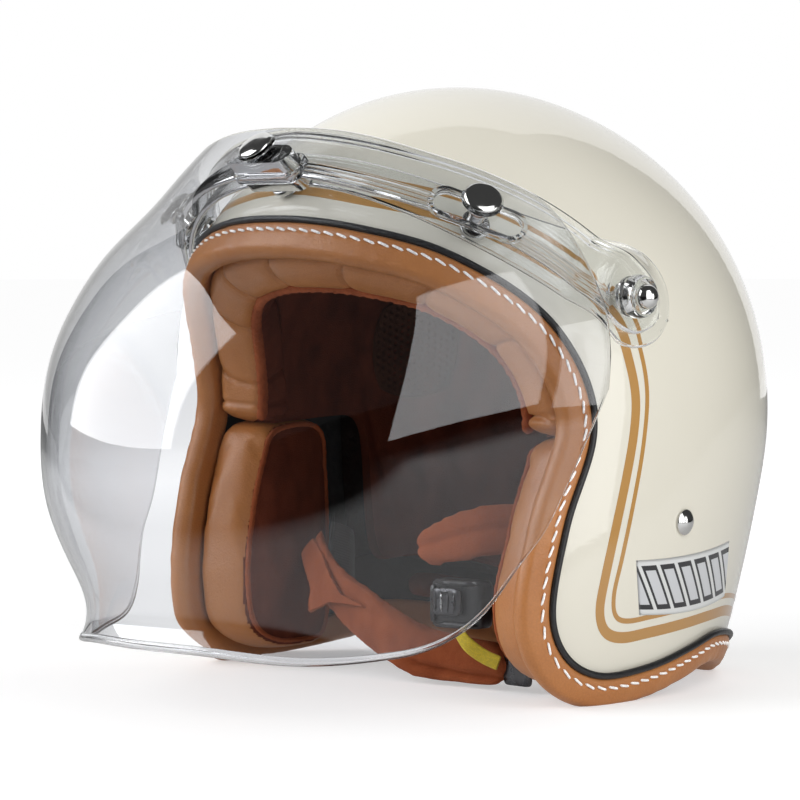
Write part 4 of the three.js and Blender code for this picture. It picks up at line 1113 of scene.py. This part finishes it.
# Near the pivot a layer turns flat and square to it.
def flattened(p, flat):
    distance = np.hypot(p[..., 1] - pivot["y"], p[..., 2] - pivot["z"])
    t = smoothStep(distance, pivot["flatRadius"], pivot["blendRadius"])
    p = p.copy()
    p[..., 0] = np.sign(p[..., 0]) * ((pivotX + flat) * (1 - t) + np.abs(p[..., 0]) * t)
    return p


snaps = {}
for snapName, (snapLon, snapLat) in snapPlaces.items():
    foot = onShell(bandDirection(np.array(float(snapLon)), np.array(snapLat)))
    out = shellNormal(foot)
    ahead = onShell(bandDirection(np.array(snapLon + 1.0), np.array(snapLat))) - foot
    snaps[snapName] = {"foot": foot, "out": out, "along": unit(ahead - out * (ahead @ out))}

foldKnots = [19, 24, 30, 45, 60, 75, 90]
baseLow = curveThrough(foldKnots, [7.2, 8.2, 9.2, 11, 12.8, 14.6, 15.6])
baseHigh = curveThrough(foldKnots, [25.2, 24.2, 22.2, 19.4, 19.4, 20.2, 20.8])
flipKnots = [14, 20, 26, 34, 45, 60, 90]
flipLow = curveThrough(flipKnots, [10.4, 8.6, 9.2, 11.2, 12.8, 13.4, 15.4])
flipHigh = curveThrough(flipKnots, [17.6, 19.4, 20, 21.4, 22.8, 23.2, 24.4])


# Longitudes from ear to ear: closer together round an end of `radius` degrees whose centre is at `centre`.
def earToEar(centre, radius, steps):
    tip = centre - radius * np.cos(np.radians(np.linspace(4, 90, 18)))[:-1]
    half = np.concatenate([tip, np.linspace(centre, 90, steps)])
    return np.concatenate([half, 180 - half[-2::-1]])


# Strip between two edges in latitude; `relief(part)` raises its outer face, `edges(f)` gives the latitudes.
def stripSolid(longitudes, edges, layer, flats, across, relief):
    f = np.minimum(longitudes, 180 - longitudes)
    low, high = edges(f)
    part = np.linspace(0, 1, across + 1)
    lat = low[:, None] + (high - low)[:, None] * part[None]
    rays = bandDirection(np.broadcast_to(longitudes[:, None], lat.shape), lat)
    top = flattened(offShell(rays, layer[1] + relief(part)[None]), flats[1])
    under = flattened(offShell(rays, layer[0]), flats[0])
    half = (top - under) / 2
    return (top + under) / 2, half


# A strip of varying thickness, its faces at middle + half and middle - half, closed by a half-round rim.
def sheetFromHalf(name, middle, half, materials):
    size = np.linalg.norm(half, axis=-1, keepdims=True)
    mean = float(size.mean())
    points, faces = thickSheet(middle, half / size, mean)
    rows, cols = middle.shape[:2]
    points[:rows * cols] = (middle + half).reshape(-1, 3)
    points[rows * cols:2 * rows * cols] = (middle - half).reshape(-1, 3)
    return makePiece(name, points, faces, materials, sharp=45)


# Slot outline: two straight sides of length - width, and round ends.
def stadium(grow, count=24):
    half, radius = (slotSize["length"] - slotSize["width"]) / 2, slotSize["width"] / 2 + grow
    a = np.linspace(-np.pi / 2, np.pi / 2, count)
    right = np.stack([half + radius * np.cos(a), radius * np.sin(a)], 1)
    return np.vstack([right, -right])


def slotCutter(snap, grow, low, high):
    flat = stadium(grow)
    side = np.cross(snap["out"], snap["along"])
    ring = snap["foot"] + snap["along"] * flat[:, :1] + side * flat[:, 1:]
    grid = np.stack([ring + snap["out"] * h for h in (low, high)])
    grid = closedCols(capped(grid))
    return makePiece("cutter", grid, gridFaces(*grid.shape[:2]), [])


def cutAway(piece, cutters):
    for cutter in cutters:
        cut = piece.modifiers.new("cut", "BOOLEAN")
        cut.operation, cut.object, cut.solver = "DIFFERENCE", cutter, "EXACT"
    mesh = evaluatedMesh(piece)
    piece.modifiers.clear()
    for cutter in cutters:
        bpy.data.objects.remove(cutter)
    piece.data = mesh
    mesh.set_sharp_from_angle(angle=math.radians(38))


# Rounded ring carried along the slot's outline, standing proud of the band.
def slotRim(snap, name):
    flat = soften(stadium(slotSize["rimWidth"] * 0.5), 0.01)
    low, high = band["flipIn"] - 0.5, band["flipOut"] + slotSize["rimHeight"]
    c, s = squared(np.linspace(0, 2 * np.pi, 13), 0.5)
    outward = np.roll(flat, -1, 0) - np.roll(flat, 1, 0)
    outward = unit(np.stack([outward[:, 1], -outward[:, 0]], 1))
    plan = flat[:, None] + outward[:, None] * (c * slotSize["rimWidth"] / 2)[None, :, None]
    height = (low + high) / 2 + s * (high - low) / 2
    side = np.cross(snap["out"], snap["along"])
    grid = (snap["foot"] + snap["along"] * plan[..., :1] + side * plan[..., 1:]
            + snap["out"] * height[None, :, None])
    piece = gridPiece(f"slot_rim_{name}", closedRows(grid), [clearBand])
    install(piece, "visor", "clear_plastic")


# The base strip ends in a round ear.
def baseEdges(f):
    lift = np.sqrt(np.clip(ear["radius"] ** 2 - (f - ear["longitude"]) ** 2, 0, None))
    inEar, f = f < ear["longitude"], np.maximum(f, ear["longitude"])
    return (np.where(inEar, ear["latitude"] - lift, baseLow(f)),
            np.where(inEar, ear["latitude"] + lift, baseHigh(f)))


# The flip band narrows to a round tip.
def flipEdges(f):
    taper = np.sqrt(np.clip(1 - (np.clip(band["tip"] - f, 0, None) / band["tipRadius"]) ** 2, 0.002, 1))
    low, high = (curve(np.maximum(f, flipKnots[0])) for curve in (flipLow, flipHigh))
    return (low + high) / 2 - (high - low) / 2 * taper, (low + high) / 2 + (high - low) / 2 * taper


def makeBands():
    lon = earToEar(ear["longitude"], ear["radius"], 130)
    middle, half = stripSolid(lon, baseEdges, (band["baseIn"], band["baseOut"]), pivot["baseFlats"], 26,
                              lambda part: 0.0 * part)
    piece = sheetFromHalf("base_strip_clear", middle, half, [clearBand])
    install(piece, "helmet", "clear_plastic", "visor_base_strip")
    lon = earToEar(band["tip"], band["tipRadius"] - 0.1, 150)
    ribs = lambda part: sum(band["ribHeight"] * bell(part - at, band["ribWidth"]) for at in band["ribs"])
    middle, half = stripSolid(lon, flipEdges, (band["flipIn"], band["flipOut"]), pivot["flipFlats"], 84, ribs)
    piece = sheetFromHalf("flip_band_clear", middle, half, [clearBand])
    cutAway(piece, [slotCutter(snap, 0.25, 5, 22) for snap in snaps.values()])
    install(piece, "visor", "clear_plastic", "flip_band")
    for name, snap in snaps.items():
        slotRim(snap, name)


makeBands()
print("bands moulded")

# ---- bubble shield and its snaps

shield = {
    "centreY": -30.0, "wall": 2.0, "side": 84.0, "columns": 240, "rows": 84,
    "heights": [-90, -84, -78, -60, -35, -5, 25, 50, 70, 85, 100, 115, 130],
    "halfWidths": [108, 110.5, 113.5, 119.8, 124.4, 129.2, 132, 127.7, 118, 107, 96.3, 85.9, 75.5],
    "depths": [151, 145.5, 142.5, 148.2, 160.5, 162, 154.7, 139.6, 121.9, 104.4, 89.7, 73.3, 57.2],
    "edgeAngles": [0, 20, 40, 52, 61, 67, 72, 76.6, 80.5, 84],
    "bottomEdge": [-84, -85, -88, -86.4, -80, -66, -50, -34, -9, 15],
    "topEdge": [117, 115.6, 110, 104.6, 100, 96, 92, 87, 74, 45],
}
shieldLip = {"across": 1.5, "along": 1.7, "reach": 72, "columns": 300}
halfWidthAt = curveThrough(shield["heights"], shield["halfWidths"])
depthAt = curveThrough(shield["heights"], shield["depths"])
bottomAt = curveThrough(shield["edgeAngles"], shield["bottomEdge"])
topAt = curveThrough(shield["edgeAngles"], shield["topEdge"])


# Each level is half an ellipse about a line through centreY: x = A(z) sin a, y = centreY - B(z) cos a.
def onShield(degrees, z):
    a = np.radians(degrees)
    x, y = halfWidthAt(z) * np.sin(a), shield["centreY"] - depthAt(z) * np.cos(a)
    return np.stack(np.broadcast_arrays(x, y, z), -1)


def shieldNormal(degrees, z, step=0.5):
    across = onShield(degrees + step, z) - onShield(degrees - step, z)
    return unit(np.cross(across, onShield(degrees, z + step) - onShield(degrees, z - step)))


def makeShield():
    degrees = shield["side"] * np.sin(np.pi * (np.linspace(0, 1, shield["columns"] + 1) - 0.5))
    low, high = bottomAt(np.abs(degrees)), topAt(np.abs(degrees))
    part = np.linspace(0, 1, shield["rows"] + 1) ** 1.3
    z = low[:, None] + (high - low)[:, None] * part[None]
    degrees = np.broadcast_to(degrees[:, None], z.shape)
    normal = shieldNormal(degrees, z)
    middle = onShield(degrees, z) - normal * shield["wall"] / 2
    points, faces = thickSheet(middle, normal, shield["wall"] / 2)
    piece = makePiece("shield_bubble", points, faces, [clearShield], sharp=50)
    install(piece, "visor", "tinted_shield", "bubble_shield")


# Turned bead along the shield's lower edge, thinning out towards its ends.
def makeLip():
    degrees = np.linspace(-shieldLip["reach"], shieldLip["reach"], shieldLip["columns"])
    z = bottomAt(np.abs(degrees))
    normal = shieldNormal(degrees, z)
    line = onShield(degrees, z) - normal * shield["wall"] / 2
    along = unit(np.gradient(line, axis=0))
    down = unit(np.cross(along, normal))
    down *= -np.sign(down[:, 2:])
    c, s = squared(np.linspace(0, 2 * np.pi, 15)[None, :, None], 0.6)
    size = np.sqrt(np.clip(1 - (np.abs(degrees) / shieldLip["reach"]) ** 4, 0.0, 1))[:, None, None]
    grid = line[:, None] + (normal[:, None] * c * shieldLip["across"]
                            + down[:, None] * s * shieldLip["along"]) * size
    install(gridPiece("shield_lip", grid, [clearLip]), "visor", "tinted_shield")


# A snap stands in its slot square to the shield: its axis and its reach to the shield are found in turns.
def aimSnap(snap):
    snap["seat"] = snap["foot"] + snap["out"] * (band["flipIn"] + band["flipOut"]) / 2
    snap["axis"] = snap["out"]
    for _ in range(12):
        near, far = 2.0, 30.0
        for _ in range(40):
            snap["reach"] = (near + far) / 2
            p = snap["seat"] + snap["axis"] * snap["reach"]
            east, south = p[0] / halfWidthAt(p[2]), (shield["centreY"] - p[1]) / depthAt(p[2])
            near, far = (near, snap["reach"]) if math.hypot(east, south) > 1 else (snap["reach"], far)
        snap["axis"] = shieldNormal(np.array(math.degrees(math.atan2(east, south))), np.array(p[2]))


def makeSnaps():
    for name, snap in snaps.items():
        aimSnap(snap)
        onShellSide, onShieldSide = (snap["foot"], snap["out"]), (snap["seat"], snap["axis"])
        reach = snap["reach"]
        under, cap = reach - shield["wall"], reach + 1.6
        stud = [(0, -6.4), (5, -6.4), (5, -5.4), (1.8, -5.4), (1.8, 0.2), (4.6, 0.2), (4.4, 1.2), (2.2, 1.5),
                (1.9, 2.2), (2.3, 3.4), (0, 3.9)]
        button = [(0, -3.7), (5.2, -3.7), (5.2, -2.9), (3.2, -2.9), (3.2, under - 4), (2, under - 3.6),
                  (2.3, under - 1.6), (0, under - 1)]
        dome = [(0, under - 0.4), (2, under - 0.4), (2, cap), (6.7, cap), (7.4, cap + 0.35), (7.45, cap + 0.9),
                *domeTop(6.9, cap + 2.3, 0.75, 3.4)[::-1]]
        turnedPiece(f"shell_button_{name}", stud, *onShellSide, chrome, "helmet", "chrome", f"shell_stud_{name}")
        turnedPiece(f"base_ring_{name}", ringProfile(2.7, 5.8, 1.8, band["baseIn"] - 0.55), *onShellSide, chrome,
                    "helmet", "chrome", f"base_socket_{name}")
        turnedPiece(f"band_button_{name}", button, *onShieldSide, chrome, "visor", "chrome", f"band_stud_{name}")
        turnedPiece(f"shield_ring_{name}", ringProfile(2.7, 5.4, under - 2.7, under - 0.9), *onShieldSide,
                    chrome, "visor", "chrome", f"shield_socket_{name}")
        turnedPiece(f"clear_washer_{name}", ringProfile(2.5, 8.4, reach + 0.6, reach + 1.2), *onShieldSide,
                    clearBand, "visor", "clear_plastic", f"snap_washer_{name}", ease=0.15)
        turnedPiece(f"chrome_cap_{name}", dome, *onShieldSide, chrome, "visor", "chrome", f"snap_cap_{name}", 72)


def makePivots():
    baseTop, flipUnder, flipTop = pivot["baseFlats"][1], *pivot["flipFlats"]
    bore, collar = pivot["bore"], flipTop + 0.35
    nut = [(0, 3.4), (5.4, 3.4), (5.4, 6), (0, 6)]
    cup = [(bore, collar), (8.6, collar), (8.6, collar + 2.4), (8.0, collar + 4.6), (7.2, collar + 5),
           (6.5, collar + 4.6), (5.9, collar + 2.4), (bore, collar + 2.2), (bore, collar)]
    ball = [(5.0 * math.sin(a), collar + 5.6 - 4.6 * math.cos(a)) for a in np.linspace(0.6, math.pi, 18)]
    screw = [(0, 6.4), (3, 6.4), (3, collar + 1.6), *ball]
    for side, name in sides:
        at = pivotFoot * [side, 1, 1], np.array([side, 0, 0.0])
        turnedPiece(f"pivot_hexnut_{name}", nut, *at, steel, "helmet", "chrome", f"pivot_nut_{name}", 6, 0)
        turnedPiece(f"pivot_clear_ring_{name}", ringProfile(bore, 8, baseTop + 0.35, flipUnder - 0.35), *at,
                    clearBand, "helmet", "clear_plastic", f"pivot_spacer_{name}")
        turnedPiece(f"pivot_cup_{name}", cup, *at, clearBand, "visor", "clear_plastic", f"pivot_collar_{name}",
                    72, 0.35)
        turnedPiece(f"pivot_ball_{name}", screw, *at, chrome, f"pivot_screw_{name}", "chrome",
                    f"pivot_screw_{name}", 64)


makeShield()
makeLip()
makeSnaps()
makePivots()
print("shield, snaps and pivots on")

# ---- chin straps

strapRivet = onShell(unit(np.array([115.7, 14.1, -40.6])))


def makeRivets():
    dome = [(0, -9.6), (4.4, -9.6), (4.4, -8.6), (2.5, -8.6), (2.5, 0.1), (5.2, 0.1), (5.3, 0.7),
            *domeTop(5.1, 3.3, 2.2, 2.2)[::-1]]
    for side, name in sides:
        foot = strapRivet * [side, 1, 1]
        out = shellNormal(foot)
        turnedPiece(f"rivet_dome_{name}", dome, foot, out, chrome, "helmet", "chrome", f"strap_rivet_{name}")
        turnedPiece(f"rivet_plate_{name}", ringProfile(2.9, 8, -6, -4.8), foot, out, steel, f"strap_{name}",
                    "chrome", f"strap_anchor_{name}")


# Flat band along a curve. Stations: (x, y, z, width, thickness, upright); upright 0 lays its width level,
# upright 1 stands it on edge. Its section is a superellipse of the given power, its ends are round over `ends`.
def ribbonGrid(stations, steps, turns=24, power=5.0, ends=0.0):
    data = np.array(stations, float)
    line = smoothCurve(data[:, :3], steps + 1)
    whole = smoothCurve(data[:, :3], 400)
    run = arcLengths(whole)
    knotsAt = run[[int(np.argmin(np.linalg.norm(whole - p, axis=1))) for p in data[:, :3]]]
    at = np.linspace(0, run[-1], steps + 1)
    width, thick, upright = (np.interp(at, knotsAt, data[:, k]) for k in (3, 4, 5))
    along = unit(np.gradient(line, axis=0))
    hint = np.stack([0 * upright, 1 - upright, upright], 1)
    broad = unit(hint - along * (along * hint).sum(-1, keepdims=True))
    thin = np.cross(along, broad)
    shrink = roundEnds(np.minimum(at, run[-1] - at), ends) if ends else np.ones(len(at))
    c, s = squared(np.linspace(0, 2 * np.pi, turns + 1), 2 / power)
    grid = (line[:, None] + broad[:, None] * (width * shrink / 2)[:, None, None] * c[None, :, None]
            + thin[:, None] * (thick * shrink / 2)[:, None, None] * s[None, :, None])
    grid[..., 2] = np.maximum(grid[..., 2], place["ground"] + 0.2)
    return grid, broad


web = (22.0, 2.2)  # width and thickness of the webbing
straps = {
    "left": [(106.6, 16, -50, *web, 0), (104.6, 16.5, -62, *web, 0), (95, 18, -74, *web, 0.5),
             (82, 15, -77.5, *web, 1), (70, 3, -78, *web, 1), (60, -17, -78.5, *web, 1), (56, -28, -78, *web, 1)],
    "right": [(-106.6, 16, -50, *web, 0), (-104.6, 16.5, -60, *web, 0), (-95, 18, -68, *web, 0.5),
              (-82, 15, -68, *web, 1), (-71, 3, -64, *web, 1), (-66, -12, -60, *web, 1)],
}
sleeves = {
    "left": [(70, -14, -45, 20, 5, 1), (58, -25, -44, 22, 7, 1), (42, -33, -47, 22, 7, 1),
             (27, -37, -51.5, 19, 6, 1), (14, -38, -55, 13, 5, 1)],
    "right": [(-64.5, -17, -58, 16, 5, 1), (-55, -27, -62, 17, 5, 1), (-42, -33, -72, 19, 6, 1),
              (-18, -35, -84, 23, 8, 1), (8, -32, -96, 25, 10, 1), (34, -27, -99.6, 21, 10, 1),
              (57, -26, -100.2, 18, 8, 1)],
}
# Swallow-tailed end of the suede facing: left and right edges from its root to its two points.
flap = {"left": [(-64, -30, -62), (-57.5, -33, -69), (-51, -37, -75.5), (-49, -39, -79), (-46.5, -41, -83.3)],
        "right": [(-57.5, -30, -55.5), (-46.4, -34, -61), (-35.8, -38.5, -69.7), (-28.8, -40.5, -75.8),
                  (-12.4, -41, -79.6)],
        "notch": 0.16, "thickness": 1.4, "lengthwise": 70, "crosswise": 36}


def makeStraps():
    for _, side in sides:
        grid = ribbonGrid(straps[side], 150, 20, 6.0)[0]
        piece = gridPiece(f"webbing_{side}", capped(grid), [webbingCloth])
        install(piece, f"strap_{side}", "webbing", f"chin_strap_{side}")
        grid = ribbonGrid(sleeves[side], 60, 20, 2.6, 8.0)[0]
        pad = stuffed(f"strap_sleeve_{side}", grid, gridFaces(*grid.shape[:2]), 0.003, [rustSuede],
                      lambda p, side=side: creased(insideGround(p), side))
        install(pad, f"strap_{side}", "suede", f"strap_pad_{side}")


def insideGround(points):
    points[:, 2] = np.maximum(points[:, 2], place["ground"] + 0.4)
    return points


# A sewn line along a sleeve pulls its front face in: (place across, depth, width, where it starts).
sleeveSeams = {"left": (0.5, 1.7, 1.1, -200), "right": (-5.5, 3.4, 1.3, 6)}


def creased(points, side):
    middle, depth, width, start = sleeveSeams[side]
    grid, broad = ribbonGrid(sleeves[side], 200)
    centre = grid.mean(1)
    index = np.argmin(np.linalg.norm(points[:, None, :] - centre[None, ::4], axis=-1), 1) * 4
    away = points - centre[index]
    across = (away * broad[index]).sum(-1)
    pull = depth * bell(across - middle, width) * (away[:, 1] < 0) * smoothStep(points[:, 0], start, start + 8)
    return points + np.array([0, 1.0, 0]) * pull[:, None]


# Raw suede flap between two edges; its end is cut back in the middle, and its rims are slightly ragged.
def makeFlap():
    u = np.linspace(0, 1, flap["lengthwise"])[:, None]
    v = np.linspace(0, 1, flap["crosswise"])[None]
    reach = u * (1 - flap["notch"] * (1 - np.abs(2 * v - 1)) ** 0.8)
    knots = np.linspace(0, 1, len(flap["left"]))
    left, right = (np.stack([np.interp(reach, knots, [k[i] for k in flap[side]]) for i in range(3)], -1)
                   for side in ("left", "right"))
    ragged = v[..., None] + 0.012 * np.sin(u * 61)[..., None] * (2 * v - 1)[..., None]
    middle = left + (right - left) * ragged
    middle[..., 1] -= 1.3 * np.sin(np.pi * v) * np.sin(np.pi * u * 0.8) + 0.5 * np.sin(u * 9 + v * 4)
    normals = unit(np.cross(np.gradient(middle, axis=0), np.gradient(middle, axis=1)))
    points, faces = thickSheet(middle, normals, flap["thickness"] / 2, 3)
    install(makePiece("suede_facing", points, faces, [rustSuede]), "strap_right", "suede")


makeRivets()
makeStraps()
makeFlap()
print("straps hung")


# ---- buckle

# Boxy closed form: |x/a|^p + |y/b|^p + |z/c|^p = 1, turned about Z by `turn` and moved to `middle`.
def roundBlock(size, middle, turn, power=7.0, steps=64):
    lat = np.linspace(-np.pi / 2, np.pi / 2, steps // 2 + 1)[:, None]
    lon = np.linspace(0, 2 * np.pi, steps + 1)[None]
    ray = np.stack([np.cos(lat) * np.cos(lon), np.cos(lat) * np.sin(lon), np.sin(lat) + 0 * lon], -1)
    half = np.array(size) / 2
    grid = ray * ((np.abs(ray / half) ** power).sum(-1, keepdims=True)) ** (-1 / power)
    c, s = math.cos(turn), math.sin(turn)
    x, y = grid[..., 0].copy(), grid[..., 1].copy()
    grid[..., 0], grid[..., 1] = c * x - s * y, s * x + c * y
    return grid + np.array(middle)


buckle = {"middle": (41, -37, -75), "turn": math.radians(8), "size": (26, 9, 20), "lever": (38.5, -43.6, -74),
          "leverSize": (15, 2.2, 11),
          # raised rails and a cross bar on the block's front: (along, up, size)
          "rails": {"rail_upper": (0, 8.4, (24, 2.4, 2.2)), "rail_lower": (0, -8.4, (24, 2.4, 2.2)),
                    "end_bar": (-11, 0, (2.4, 3.0, 16))},
          "ribSize": (1.0, 1.2, 8.5), "tongue": (62, -26, -100.4), "tongueSize": (16, 1.6, 15),
          "tab": [(44, -42.5, -85.5, 5, 1.2, 1), (49, -41.5, -91, 6, 1.2, 1), (55, -38.5, -95.5, 6, 1.2, 1),
                  (61, -36, -98, 6, 1.2, 1)]}


def makeBuckle():
    turn = buckle["turn"]
    body = gridPiece("buckle_block", roundBlock(buckle["size"], buckle["middle"], turn, 9), [bucklePlastic])
    install(body, "strap_left", "buckle_plastic", "buckle_body")
    c, s = math.cos(turn), math.sin(turn)
    for name, (x, z, size) in buckle["rails"].items():
        spot = np.add(buckle["middle"], (c * x + s * 4.6, s * x - c * 4.6, z))
        part = gridPiece(f"buckle_{name}", roundBlock(size, spot, turn, 5, 32), [bucklePlastic])
        install(part, "strap_left", "buckle_plastic")
    lever = roundBlock(buckle["leverSize"], buckle["lever"], turn, 6)
    install(gridPiece("buckle_grip", lever, [gunmetal]), "buckle_lever", "chrome", "buckle_lever")
    for k in range(4):
        along = 3.2 * k - 4.8
        spot = np.add(buckle["lever"], (c * along, s * along - 1.1, 0))
        rib = roundBlock(buckle["ribSize"], spot, turn, 4, 24)
        install(gridPiece(f"grip_rib_{k}", rib, [steel if k == 1 else gunmetal]), "buckle_lever", "chrome")
    tongue = gridPiece("tongue_plate", roundBlock(buckle["tongueSize"], buckle["tongue"], 0, 8), [gunmetal])
    install(tongue, "strap_right", "chrome", "buckle_tongue")
    tab = ribbonGrid(buckle["tab"], 60, 14, 4.0)[0]
    install(gridPiece("tape_tab", capped(tab), [tapeCloth]), "strap_left", "yellow_tape", "release_tab")


# Keeper: a rounded bar carried round a slot that the webbing runs through.
def makeKeeper():
    start, end = np.array([70, 3, -78.0]), np.array([60, -17, -78.5])
    middle, along = (start + end) / 2, unit(end - start)
    up = unit(np.array([0, 0, 1.0]) - along * along[2])
    side = np.cross(along, up)
    c, s = squared(np.linspace(0, 2 * np.pi, 81)[:-1], 2 / 9)
    outward, ahead = squared(np.linspace(0, 2 * np.pi, 15), 0.5)
    wide, deep = 12.9 + 1.1 * outward, 2.5 + 0.7 * outward
    grid = (middle + up * (c[:, None] * wide[None])[..., None] + side * (s[:, None] * deep[None])[..., None]
            + along * (3.5 * ahead)[None, :, None])
    install(gridPiece("keeper_loop", closedRows(grid), [bucklePlastic]), "strap_keeper", "buckle_plastic",
            "strap_keeper")


makeBuckle()
makeKeeper()
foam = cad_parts["foam_liner"]
foam.data.materials.clear()
foam.data.materials.append(foamBlack)
print("buckle and keeper on")
